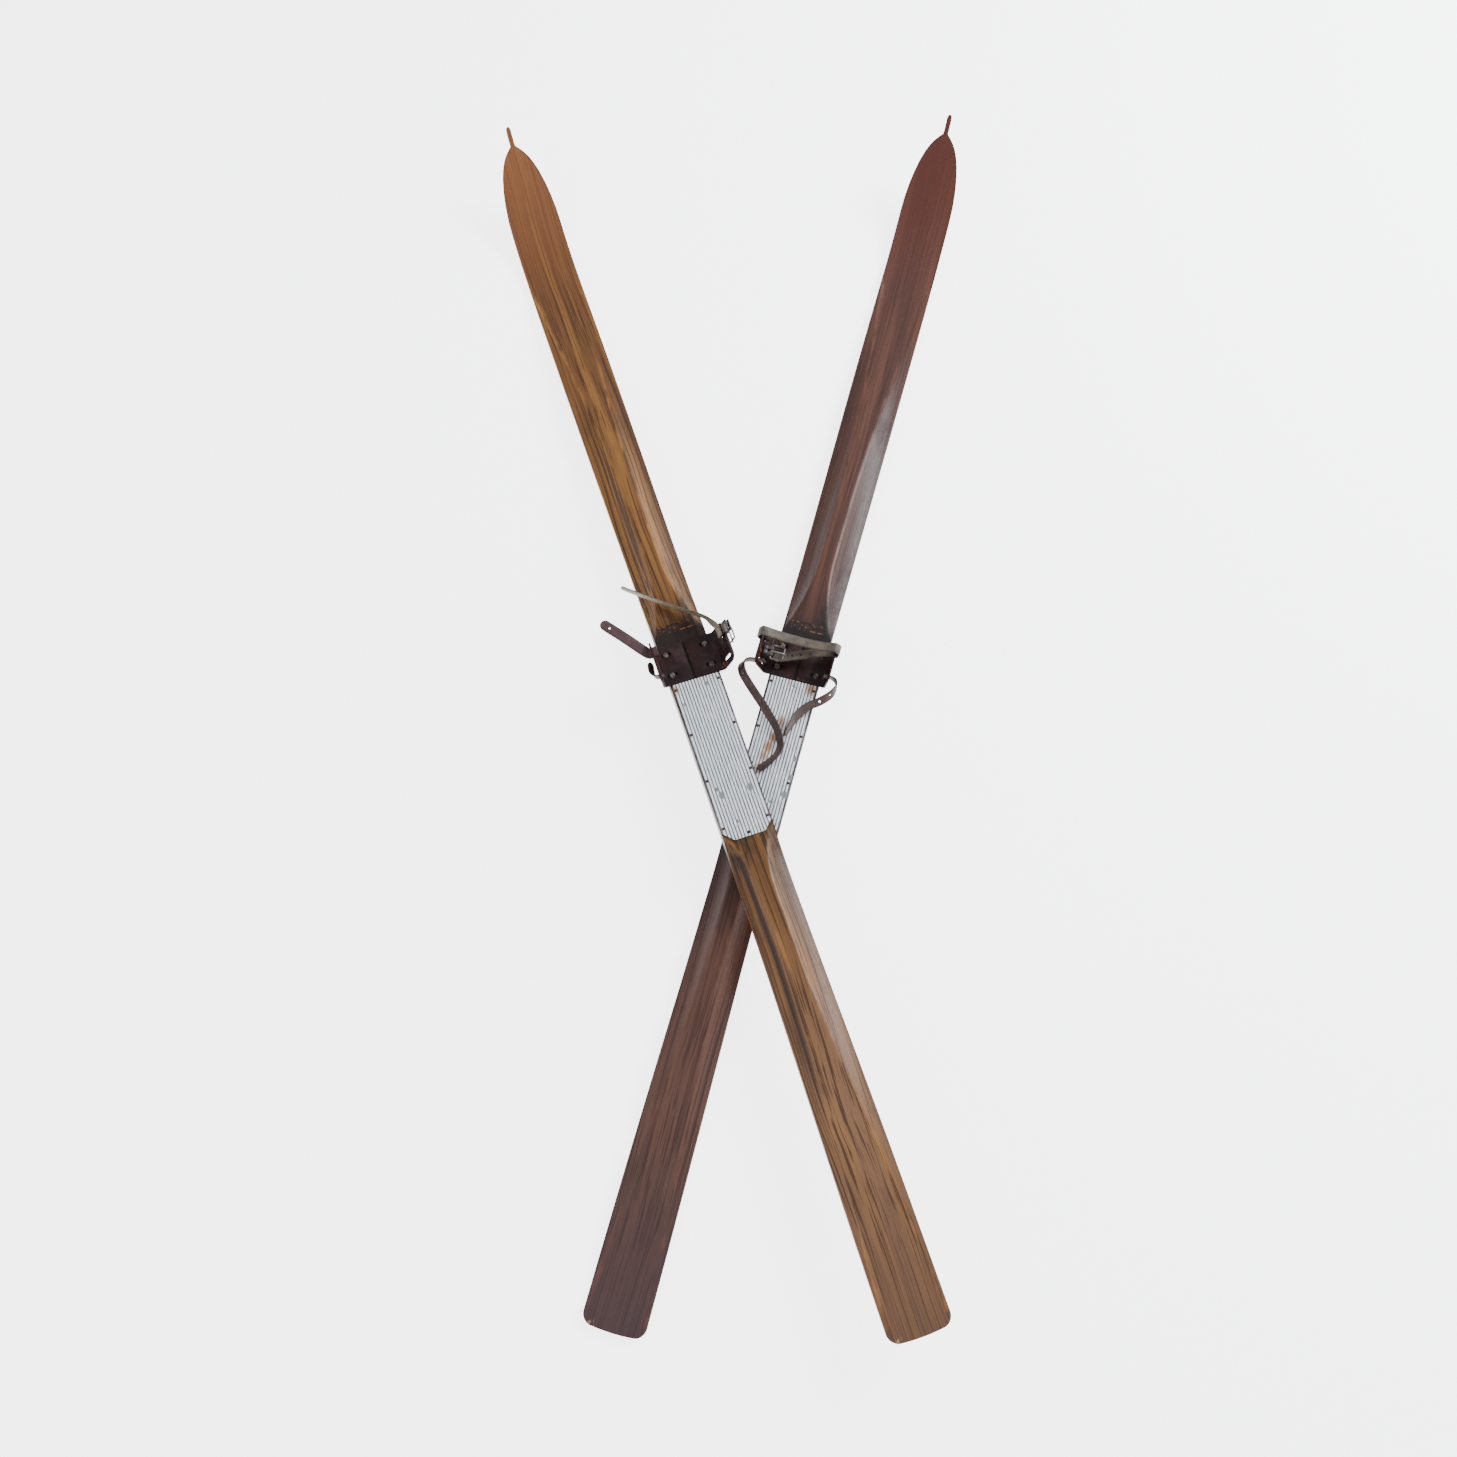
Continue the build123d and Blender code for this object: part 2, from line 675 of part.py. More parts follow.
# Upper ski: a loop round the top of the right ear, and the buckle that hangs outside it.
loop_half = iron_gauge / 2 + strap_lie + chape_gauge / 2
loop_top = ear_height + strap_lie + chape_gauge / 2
loop_corner = 1.3
loop_plane = ear_plane(1, open_flare, toe_slot_height, toe_slot_y - chape_width / 2)
loop_side = Plane(origin=loop_plane.origin, x_dir=loop_plane.z_dir, z_dir=(0, 1, 0))
loop_rise = loop_top - toe_slot_height
if loop_side.y_dir.Z < 0:
    loop_rise = -loop_rise
with BuildPart() as ear_loop:
    with BuildSketch(loop_side):
        with BuildLine():
            FilletPolyline(
                (-loop_half, 0), (loop_half, 0), (loop_half, loop_rise), (-loop_half, loop_rise),
                radius=loop_corner, close=True,
            )
        trace(line_width=chape_gauge)
    extrude(amount=chape_width)
add("upper_ear_loop", ear_loop.part, upper_place)
upper_reach = 15.0
upper_bar = by_ear(1, open_flare, 27, 8, 928)
ear_out = loop_plane.z_dir
upper_buckle = Plane(origin=upper_bar, x_dir=ear_up(1, open_flare), z_dir=ear_out)
add("upper_buckle_chape", make_chape(upper_buckle, upper_reach), upper_place)
add("upper_chape_rivets", make_rivets(upper_buckle, upper_reach), upper_place)
add("upper_buckle_frame", make_frame(upper_buckle), upper_place)
add("upper_buckle_tongue", make_tongue(upper_buckle), upper_place)

# Upper ski: the long thin strap from inside the right ear, on edge across the ski.
long_points = [by_ear(1, open_flare, 24, -loop_half - 3, y) for y in (920, 936)]
long_points += [
    (45.5, 950, 58.5), (41, 959, 57), (33, 968, 54.5), (22, 978, 51.5), (6, 992.5, 48.5), (-12, 1009, 46.6),
    (-32, 1026.5, 45.8), (-50, 1042, 46), (-55, 1046.5, 46.4),
]
long_widths = [ear_up(1, open_flare)] * 2 + [(0.3, 0, 1)] + [upright] * 8
long_strap = make_strap(long_points, long_widths, long_strap_width, long_strap_gauge, (8,))
add("upper_strap_right", long_strap, upper_place)

# ---------------------------------------------------------------- the part's origin
boxes = [solid.bounding_box() for solid in pieces.values()]
low = [min(tuple(box.min)[i] for box in boxes) for i in range(3)]
high = [max(tuple(box.max)[i] for box in boxes) for i in range(3)]
origin_shift = Location((-(low[0] + high[0]) / 2, -(low[1] + high[1]) / 2, -low[2]))

os.makedirs("parts", exist_ok=True)
for name, solid in pieces.items():
    piece = solid.moved(origin_shift)
    piece.label = name
    export_step(piece, f"parts/{name}.step")
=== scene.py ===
import json
from math import cos, pi, radians, sin

import bpy
import numpy as np
from mathutils import Matrix, Vector


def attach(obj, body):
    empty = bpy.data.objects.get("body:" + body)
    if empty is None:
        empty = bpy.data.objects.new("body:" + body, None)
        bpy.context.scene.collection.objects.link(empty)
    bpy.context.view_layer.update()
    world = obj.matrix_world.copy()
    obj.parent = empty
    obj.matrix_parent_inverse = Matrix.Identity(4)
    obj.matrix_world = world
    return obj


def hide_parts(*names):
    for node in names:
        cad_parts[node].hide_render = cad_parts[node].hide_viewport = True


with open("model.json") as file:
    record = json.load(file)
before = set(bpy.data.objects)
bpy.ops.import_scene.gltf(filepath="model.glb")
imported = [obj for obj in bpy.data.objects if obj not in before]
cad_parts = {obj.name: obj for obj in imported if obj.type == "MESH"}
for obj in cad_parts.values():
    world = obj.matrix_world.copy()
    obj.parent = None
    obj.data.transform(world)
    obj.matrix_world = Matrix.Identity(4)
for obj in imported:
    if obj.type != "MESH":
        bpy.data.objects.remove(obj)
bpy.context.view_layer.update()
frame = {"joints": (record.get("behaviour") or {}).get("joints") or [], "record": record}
bpy.ops.object.select_all(action="DESELECT")

# ------------------------------------------------------------------ the planks
# Each ski is one plank of hard, straight-grained wood, bent at the tip by steam. The top
# is carved to a narrow ridge with hollow bevels beside it, except under the boot, and the
# sole has a groove. The finish is old oil, worn pale along the arrises.
ski_length = 1.900
tail_half, waist_half, shovel_half = 0.0405, 0.0358, 0.0426
waist_y, shovel_y = 0.646, 1.660
tip_length = ski_length - shovel_y
camber, foot_depth, tail_depth, shovel_depth, tip_depth = 0.009, 0.029, 0.008, 0.010, 0.008
deck_z = camber + foot_depth
bevel_edge, ridge_share = 0.012, 0.25
block_rear, block_front = 0.646, 0.952
rear_scoop, front_scoop = 0.104, 0.134
rear_ridge_end, front_ridge_end = 0.430, 1.200
knob_half, knob_length, arch_length = 0.0039, 0.022, 0.108
tail_corner, tail_bow = 0.013, 0.0019
groove_half, groove_depth = 0.007, 0.0022
tip_rise = {"lower": 0.113, "upper": 0.115}
groove_rear, groove_front, groove_fade = 0.15, shovel_y - 0.06, 0.09
bow_run, bow_gain = 0.06, 1.6
crest_limit, crest_softness, hollow_curve = 0.985, 0.0003, 1.45
arris_reach, arris_round, flat_share = 0.0022, 0.0009, 0.97
rib_pitch, rib_height, plate_gauge = 0.0045, 0.0009, 0.001
seat_spot = Vector((2 * rib_pitch, 0.860, deck_z + plate_gauge + rib_height))


# Everything on a ski is made in the ski's own frame: X across it, Y from its tail to its
# tip, Z up. The toe irons' slides give X, and the boot seats on the foot plates give Z.
def ski_frame(name):
    """The matrix that puts a ski's own frame where that ski lies."""
    joints = {joint["name"]: joint for joint in frame["joints"]}
    mounts = {mount["name"]: mount for mount in frame["record"]["mounts"]}
    mount = mounts[f"{name}_boot_seat"]
    across = Vector(joints[f"{name}_left_adjust"]["axis"]).normalized()
    up = Vector(mount["axis"]).normalized()
    along = up.cross(across)
    turn = Matrix((across, along, up)).transposed()
    return Matrix.Translation(Vector(mount["pos_m"]) - turn @ seat_spot) @ turn.to_4x4()


skis = {name: ski_frame(name) for name in ("lower", "upper")}


def settle(piece, ski):
    """Put a piece made in a ski's frame in its place, with that place in its mesh."""
    piece.data.transform(skis[ski])
    piece.data.update()
    return piece


def ease(share):
    return (1 - np.cos(np.pi * np.clip(share, 0, 1))) / 2


def sole_z(y, rise):
    """Height of the sole: camber, then the upturned tip."""
    arch = camber * np.sin(np.pi * y / shovel_y) ** 2
    return np.where(y < shovel_y, arch, rise * (np.maximum(y - shovel_y, 0) / tip_length) ** 2)


def half_width(y):
    """Half the width, before the ends are rounded."""
    rear = waist_half + (tail_half - waist_half) * ease(1 - y / waist_y)
    front = waist_half + (shovel_half - waist_half) * ease((y - waist_y) / (shovel_y + 0.04 - waist_y))
    return np.where(y < waist_y, rear, front)


def outline(y):
    """Half the width with the tail's round corners, the pointed tip and its peg."""
    wide = half_width(y)
    corner = np.sqrt(np.clip(tail_corner**2 - (tail_corner - np.clip(y, 0, tail_corner)) ** 2, 0, None))
    wide = np.where(y < tail_corner, wide - tail_corner + corner, wide)
    foot = ski_length - knob_length - arch_length
    arch_t = [0, 0.18, 0.36, 0.52, 0.665, 0.78, 0.865, 0.925, 0.965, 1.0]
    arch_w = [1.0, 0.985, 0.935, 0.856, 0.75, 0.624, 0.49, 0.35, 0.225, 0.105]
    arch = shovel_half * np.interp((y - foot) / arch_length, arch_t, arch_w)
    wide = np.where(y > foot, np.minimum(wide, arch), wide)
    end = ski_length - knob_half
    cap = np.sqrt(np.clip(knob_half**2 - np.clip(y - end, 0, knob_half) ** 2, 0, None))
    peg = np.maximum(np.where(y > end, cap, knob_half), 0.0006)
    return np.where(y > ski_length - knob_length, peg, wide)


def depth(y, rise):
    """Depth of the wood on the centre line, measured upright."""
    rear_y, front_y = block_rear - rear_scoop, block_front + front_scoop
    rear_level = deck_z - sole_z(np.array(rear_y), rise)
    front_level = deck_z - sole_z(np.array(front_y), rise)
    rear = tail_depth + (rear_level - tail_depth) * ease(y / rear_y)
    front = front_level + (shovel_depth - front_level) * ease((y - front_y) / (shovel_y - front_y))
    bent = np.clip((y - shovel_y) / tip_length, 0, 1)
    slope = 2 * rise * bent / tip_length
    tip = (shovel_depth + (tip_depth - shovel_depth) * bent) * np.sqrt(1 + slope**2)
    level = deck_z - sole_z(y, rise)
    return np.where(y < rear_y, rear, np.where(y <= front_y, level, np.where(y <= shovel_y, front, tip)))


def ridge(y):
    """Share of the width that the flat of the ridge takes."""
    narrow = 1 - ridge_share
    rear = ridge_share + narrow * (1 - y / rear_ridge_end)
    flare = ridge_share + narrow * (np.maximum(y - (block_rear - rear_scoop), 0) / rear_scoop) ** 3
    fall = ridge_share + narrow * (np.maximum(block_front + front_scoop - y, 0) / front_scoop) ** 2
    growth = np.clip((y - front_ridge_end) / (shovel_y - front_ridge_end), 0, 1)
    front = ridge_share + narrow * growth**1.6
    share = np.where(y < rear_ridge_end, rear, np.where(y < block_rear, flare, 1.0))
    return np.where(y < block_front, share, np.where(y < front_ridge_end, fall, front))


ridge_columns, bevel_columns = 11, 8
plank_columns = ridge_columns + 2 * bevel_columns
plank_rows = np.concatenate([
    tail_corner * (1 - np.cos(np.linspace(0, pi / 2, 9)))[:-1],
    np.linspace(tail_corner, block_rear - rear_scoop, 60)[:-1],
    np.linspace(block_rear - rear_scoop, block_rear, 26)[:-1],
    np.linspace(block_rear, block_front, 22)[:-1],
    np.linspace(block_front, block_front + front_scoop, 30)[:-1],
    np.linspace(block_front + front_scoop, shovel_y, 60)[:-1],
    np.linspace(shovel_y, ski_length - knob_length, 70)[:-1],
    ski_length - knob_length + np.linspace(0, knob_length - knob_half, 8)[:-1],
    ski_length - knob_half * (1 - np.sin(np.linspace(0, pi / 2, 7))),
])


def make_plank(name):
    """One plank, from a slab of rows and columns moved onto the ski's form."""
    rise = tip_rise[name]
    rows = len(plank_rows)
    bpy.ops.mesh.primitive_grid_add(x_subdivisions=plank_columns - 1, y_subdivisions=rows - 1, size=2)
    plank = bpy.context.object
    plank.name = f"{name}_plank"
    bpy.ops.object.mode_set(mode="EDIT")
    bpy.ops.mesh.select_all(action="SELECT")
    bpy.ops.mesh.extrude_region_move(TRANSFORM_OT_translate={"value": (0, 0, -1)})
    bpy.ops.object.mode_set(mode="OBJECT")
    mesh = plank.data
    slab = np.array([v.co for v in mesh.vertices])
    column = np.rint((slab[:, 0] + 1) / 2 * (plank_columns - 1)).astype(int)
    row = np.rint((slab[:, 1] + 1) / 2 * (rows - 1)).astype(int)
    is_top = slab[:, 2] > -0.5
    y = plank_rows[row]
    wide = outline(y)
    full = half_width(y)
    share = np.minimum(ridge(y), crest_limit)
    centre = (plank_columns - 1) / 2
    side = np.sign(column - centre)
    step = np.abs(column - centre)
    inner = (ridge_columns - 1) / 2
    crest = np.minimum(share * full, wide * crest_limit)
    on_ridge = step <= inner
    outward = np.clip((step - inner) / bevel_columns, 0, 1)
    top_x = np.where(on_ridge, crest * step / inner, crest + (wide - crest) * outward)
    body = depth(y, rise)
    drop = np.maximum(body - bevel_edge, 0) * (1 - share) / (1 - ridge_share)
    fall = np.clip((top_x - crest) / np.maximum(full - crest, 1e-5), 0, 1)
    soft = np.where(on_ridge & (step == inner), crest_softness, 0.0)
    top_z = body - drop * (1 - (1 - fall) ** hollow_curve) - soft
    hollow = np.minimum(groove_half, wide * 0.9)
    sole_x = np.where(on_ridge, hollow * step / inner, hollow + (wide - hollow) * outward)
    fade = np.clip(np.minimum((y - groove_rear) / groove_fade, (groove_front - y) / groove_fade), 0, 1)
    flat_bottom = np.clip(1.35 * (1 - (step / inner) ** 6), 0, 1)
    deep = np.where(on_ridge, groove_depth * fade * flat_bottom, 0)
    x = side * np.where(is_top, top_x, sole_x)
    lift = np.where(is_top, top_z, deep)
    bow = tail_bow * (1 - np.clip(y / bow_run, 0, 1)) * (x / tail_half) ** 2 * bow_gain
    place = np.stack([x, y + bow, sole_z(y, rise) + lift], axis=1)
    mesh.vertices.foreach_set("co", place.ravel())
    # The plank's coordinates before it was bent, which the grain follows.
    slope = 2 * rise * np.maximum(plank_rows - shovel_y, 0) / tip_length**2
    arc = np.concatenate([[0], np.cumsum(np.diff(plank_rows) * np.sqrt(1 + slope[1:] ** 2))])
    straight = mesh.attributes.new("grain", "FLOAT_VECTOR", "POINT")
    straight.data.foreach_set("vector", np.stack([x, arc[row] + bow, lift], axis=1).ravel())
    crest_line = mesh.attributes.new("arris", "FLOAT", "POINT")
    near = np.exp(-(((top_x - crest) / arris_reach) ** 2)) * (share < flat_share)
    crest_line.data.foreach_set("value", np.where(is_top, near, 0))
    mesh.update()
    bpy.ops.object.mode_set(mode="EDIT")
    bpy.ops.mesh.select_all(action="SELECT")
    bpy.ops.mesh.normals_make_consistent(inside=False)
    bpy.ops.object.mode_set(mode="OBJECT")
    bevel = plank.modifiers.new("arrises", "BEVEL")
    bevel.width = arris_round
    bevel.segments = 3
    bevel.limit_method = "ANGLE"
    bevel.angle_limit = radians(42)
    bpy.ops.object.modifier_apply(modifier=bevel.name)
    bpy.ops.object.shade_smooth_by_angle(angle=radians(38))
    settle(plank, name)
    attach(plank, f"{name}_ski")
    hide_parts(f"{name}_ski")
    return plank


class Wire:
    """A shader socket. Arithmetic on it adds Math nodes, and node adds any other node."""

    def __init__(self, socket):
        self.socket = socket
        self.tree = socket.id_data

    def node(self, kind, settings=None, inputs=None, output=0):
        """Any node in this socket's tree: its type, its settings, its inputs."""
        made = self.tree.nodes.new(kind)
        for key, value in (settings or {}).items():
            setattr(made, key, value)
        for key, value in (inputs or {}).items():
            if isinstance(value, Wire):
                self.tree.links.new(value.socket, made.inputs[key])
            else:
                made.inputs[key].default_value = value
        return Wire(made.outputs[output])

    def math(self, operation, *values):
        return self.node("ShaderNodeMath", {"operation": operation}, dict(enumerate(values)))

    def __add__(self, other): return self.math("ADD", self, other)
    def __radd__(self, other): return self.math("ADD", other, self)
    def __sub__(self, other): return self.math("SUBTRACT", self, other)
    def __rsub__(self, other): return self.math("SUBTRACT", other, self)
    def __mul__(self, other): return self.math("MULTIPLY", self, other)
    def __rmul__(self, other): return self.math("MULTIPLY", other, self)
    def __truediv__(self, other): return self.math("DIVIDE", self, other)
    def __rtruediv__(self, other): return self.math("DIVIDE", other, self)
    def __pow__(self, other): return self.math("POWER", self, other)
    def __abs__(self): return self.math("ABSOLUTE", self)
    def fraction(self): return self.math("FRACT", self)
    def most(self, other): return self.math("MAXIMUM", self, other)

    def between(self, low, high):
        """0 below low, 1 above high, smooth between. High may be the smaller one."""
        settings = {"interpolation_type": "SMOOTHSTEP"}
        if low < high:
            inputs = {"Value": self, "From Min": low, "From Max": high}
            return self.node("ShaderNodeMapRange", settings, inputs)
        inputs = {"Value": self, "From Min": high, "From Max": low, "To Min": 1.0, "To Max": 0.0}
        return self.node("ShaderNodeMapRange", settings, inputs)

    def mix(self, first, second):
        """A colour between two others, with this value as the factor."""
        tones = [tone if isinstance(tone, Wire) else (*tone, 1) for tone in (first, second)]
        inputs = {0: self, 6: tones[0], 7: tones[1]}
        return self.node("ShaderNodeMix", {"data_type": "RGBA"}, inputs, output=2)

    def noise(self, scale, stretch=(1, 1, 1), detail=4.0, rough=0.55, shift=(0, 0, 0)):
        """Noise on this vector, which is first scaled by stretch and moved by shift."""
        mapping = {"Vector": self, "Scale": stretch, "Location": shift}
        placed = self.node("ShaderNodeMapping", {}, mapping)
        inputs = {"Vector": placed, "Scale": scale, "Detail": detail, "Roughness": rough}
        return self.node("ShaderNodeTexNoise", {}, inputs)

    def split(self):
        """The three parts of this vector."""
        parts = self.node("ShaderNodeSeparateXYZ", {}, {0: self})
        return [Wire(socket) for socket in parts.socket.node.outputs]

    def bump(self, strength, distance):
        """This height as a normal."""
        inputs = {"Height": self, "Strength": strength, "Distance": distance}
        return self.node("ShaderNodeBump", {}, inputs)


def new_finish(name):
    """An empty finish: its material, its shader and a first wire to work from."""
    material = bpy.data.materials.new(name)
    material.use_nodes = True
    shader = material.node_tree.nodes["Principled BSDF"]
    return material, shader, Wire(shader.outputs[0])


def feed(shader, **values):
    """Connect or set the shader's sockets, named with underscores."""
    for key, value in values.items():
        socket = shader.inputs[key.replace("_", " ")]
        if isinstance(value, Wire):
            shader.id_data.links.new(value.socket, socket)
        else:
            socket.default_value = value


stamp_x, stamp_y, stamp_half, stamp_rail, stamp_pitch = -0.0015, 0.9675, 0.0265, 0.0054, 0.0106
lozenge_half, whole_cells = 0.0034, 100.5


def stamped_row(x, y, z):
    """A row of lozenges between two rails, struck into the top in front of the iron."""
    on_top = z.between(0.015, 0.020)
    inside = abs(x - stamp_x).between(stamp_half + 0.0004, stamp_half - 0.0004) * on_top
    cell = (((x - stamp_x) / stamp_pitch + whole_cells).fraction() - 0.5) * stamp_pitch
    reach = abs(cell) + abs(y - stamp_y) * 0.85
    lozenge = abs(reach - lozenge_half).between(0.0012, 0.0006)
    pip = reach.between(0.0015, 0.0009)
    rails = abs(abs(y - stamp_y) - stamp_rail).between(0.0011, 0.0006)
    return lozenge.most(pip.most(rails)) * inside


def stamped_field(x, y, z):
    """The darkened oblong that the row of lozenges stands in."""
    long_way = abs(x - stamp_x).between(stamp_half + 0.0015, stamp_half - 0.0003)
    return abs(y - stamp_y).between(0.0070, 0.0056) * long_way * z.between(0.015, 0.020)


def wood_finish(name, pale, middle, dark, tip, rear, tail, lines, shift, gloss):
    """Oiled wood: straight bands and dark lines, pores, dirt, painted shade under the toe iron, worn
    arrises and a stamp.
    """
    material, shader, start = new_finish(name)
    grain = start.node("ShaderNodeAttribute", {"attribute_name": "grain"}, output=1)
    arris = start.node("ShaderNodeAttribute", {"attribute_name": "arris"}, output=2)
    x, y, z = grain.split()
    # The fibres wander a little from side to side, so every streak does too.
    wander = grain.noise(2.4, (0.5, 1, 0.5), 2.0, 0.5, shift)
    swayed = grain.node(
        "ShaderNodeCombineXYZ", {},
        {"X": x + (wander - 0.5) * 0.022 + y * 0.004, "Y": y, "Z": z * 0.7},
    )
    bands = swayed.noise(40, (1.5, 0.045, 1.0), 3.0, 0.5, shift)
    streaks = swayed.noise(110, (1.5, 0.016, 1.0), 3.0, 0.5, (shift[1], shift[2], 4.7))
    thin = swayed.noise(330, (1.6, 0.006, 1.0), 2.0, 0.45, (shift[2], 1.3, shift[0]))
    fibre = swayed.noise(1300, (1.5, 0.02, 1.0), 3.0, 0.6, (3, 1, 2))
    pores = swayed.noise(900, (1.6, 0.05, 1.0), 2.0, 0.6, (1, 4, 2)).between(0.60, 0.72)
    # Dark streaks gather in the plank's middle third and fade towards its ends.
    middling = y.between(0.15, 0.55) * y.between(1.45, 1.10)
    colour = bands.between(0.36, 0.62).mix(pale, middle)
    colour = (y.between(0.60, 0.25) * (0.25 + 0.45 * bands)).mix(colour, rear)
    colour = (streaks.between(0.54, 0.64) * (0.30 + 0.45 * middling) * lines).mix(colour, dark)
    colour = (thin.between(0.53, 0.62) * 0.66 * lines).mix(colour, dark)
    colour = (fibre.between(0.35, 0.70) * 0.30).mix(colour, tuple(c * 0.55 for c in middle))
    colour = (pores * 0.45).mix(colour, dark)
    # The two ends are toned, the boot's place is stained, the arrises are worn.
    blotch = grain.noise(7, (1, 0.6, 1), 3.0, 0.6, (9, 2, 5))
    front_end = y.between(ski_length - 0.40, ski_length - 0.02)
    colour = (front_end * (0.35 + 0.55 * blotch)).mix(colour, tip)
    colour = (y.between(0.26, 0.0) * (0.25 + 0.50 * blotch)).mix(colour, tail)
    dirt = grain.noise(26, (1, 0.35, 1), 4.0, 0.65, (1, 7, 3)).between(0.50, 0.74)
    # A dark tone for dirt, the boot's stain and the painted shade under the toe iron.
    dirt_and_shade_tone = tuple(c * 0.40 for c in dark)
    boot = y.between(0.44, 0.62) * y.between(1.09, 0.94)
    # Under the toe iron the wood is painted dark as shade, so its seam and slots show dark. In front of
    # the iron the dark is a stain.
    iron_shade_and_stain = y.between(0.868, 0.880) * (y + (blotch - 0.5) * 0.04).between(0.984, 0.954)
    # Beside the foot plate, the strip of the top and the plank's sides are darkened.
    beside_plate = abs(x).between(plate_half - 0.0004, plate_half + 0.0002)
    flank = beside_plate * y.between(0.60, 0.64) * y.between(0.98, 0.94)
    colour = (dirt * 0.30 + boot * (0.38 + 0.36 * dirt)).mix(colour, dirt_and_shade_tone)
    colour = (iron_shade_and_stain * 0.93).mix(colour, dirt_and_shade_tone)
    colour = (flank * 0.75).mix(colour, dirt_and_shade_tone)
    worn = arris * grain.noise(60, (1, 0.25, 1), 3.0, 0.6, (5, 5, 5)).between(0.44, 0.64)
    colour = (worn * 0.42 * (1 - iron_shade_and_stain)).mix(colour, tuple(min(c * 1.8, 1.0) for c in pale))
    scuff = grain.noise(70, (1, 0.5, 1), 2.0, 0.5, (2, 8, 8)).between(0.66, 0.74)
    chips = (y.between(0.012, 0.0) + y.between(ski_length + 0.02, ski_length + 0.05)) * scuff
    colour = chips.mix(colour, (0.62, 0.44, 0.26))
    colour = (stamped_field(x, y, z) * 0.78).mix(colour, dark)
    stamp = stamped_row(x, y, z)
    gilt = grain.noise(170, (1, 1, 1), 3.0, 0.6, (6, 1, 6)).between(0.50, 0.64)
    colour = (stamp * 0.92).mix(colour, gilt.mix((0.006, 0.004, 0.004), (0.260, 0.088, 0.028)))
    rough = gloss + 0.10 * fibre + 0.14 * pores + 0.16 * dirt + 0.08 * blotch + 0.2 * iron_shade_and_stain
    relief = fibre * 0.4 + thin * 0.5 - pores * 0.6 - scuff * 0.4 - stamp * 3.0
    feed(shader, Base_Color=colour, Roughness=rough, Normal=relief.bump(0.30, 0.0005))
    feed(shader, Coat_Weight=0.05, Coat_Roughness=0.22, Specular_IOR_Level=0.24)
    return material


plate_half = 0.0348
lower_wood = wood_finish(
    "lower_wood",
    pale=(0.104, 0.040, 0.025), middle=(0.062, 0.023, 0.016), dark=(0.015, 0.007, 0.007),
    tip=(0.090, 0.022, 0.013), rear=(0.150, 0.078, 0.058), tail=(0.036, 0.024, 0.034),
    lines=0.75, shift=(3.1, 0.4, 1.7), gloss=0.34,
)
upper_wood = wood_finish(
    "upper_wood",
    pale=(0.255, 0.110, 0.026), middle=(0.135, 0.054, 0.016), dark=(0.018, 0.007, 0.005),
    tip=(0.185, 0.064, 0.024), rear=(0.270, 0.152, 0.090), tail=(0.075, 0.036, 0.026),
    lines=1.15, shift=(0.7, 1.9, 2.3), gloss=0.33,
)
planks = {name: make_plank(name) for name in skis}
planks["lower"].data.materials.append(lower_wood)
planks["upper"].data.materials.append(upper_wood)

# ------------------------------------------------------------------ the foot plates
# A sheet of ribbed aluminium under each boot, bright but scratched and dented, with painted shade and some
# dirt between its ribs. Its rear corners are clipped, and nails hold it to the wood.
plate_rear, plate_front = 0.636, 0.8795
plate_corner = 0.0135
rib_count = 15
rib_foot, rib_crown = 0.00172, 0.00128
plate_top = deck_z + plate_gauge + rib_height
plate_steps, underside_gap, dent_reach, dent_depth = 150, 0.00004, 1.5, 0.75
dents = {
    "lower": [(0.032, 0.764, 0.0040), (0.0326, 0.7356, 0.0042), (0.030, 0.7094, 0.0050),
              (0.015, 0.6945, 0.0030), (0.002, 0.871, 0.0028)],
    "upper": [(0.0215, 0.7015, 0.0055), (-0.0190, 0.7020, 0.0045), (-0.0225, 0.712, 0.0030),
              (0.012, 0.868, 0.0030), (-0.026, 0.846, 0.0022), (-0.010, 0.660, 0.0025)],
}
# Orange spots on the plates: rust near the irons, and on the lower plate a row beside the heel strap that
# is a painted reflection of that strap.
rust_and_reflection_spots = {
    "lower": [(0.027, 0.873, 0.0095, 0.9), (-0.004, 0.874, 0.005, 0.5), (-0.002, 0.813, 0.0080, 0.9),
              (-0.004, 0.800, 0.0090, 1.0), (-0.006, 0.787, 0.0095, 1.0), (-0.009, 0.772, 0.0095, 1.0),
              (-0.0125, 0.757, 0.0090, 0.95), (-0.016, 0.739, 0.0080, 0.8)],
    "upper": [(-0.031, 0.871, 0.0055, 0.8), (0.014, 0.878, 0.004, 0.4)],
}


def keep_lie(mesh):
    """Store where each point lies on its ski, for finishes that follow the piece."""
    lie = mesh.attributes.new("lie", "FLOAT_VECTOR", "POINT")
    lie.data.foreach_set("vector", [value for v in mesh.vertices for value in v.co])


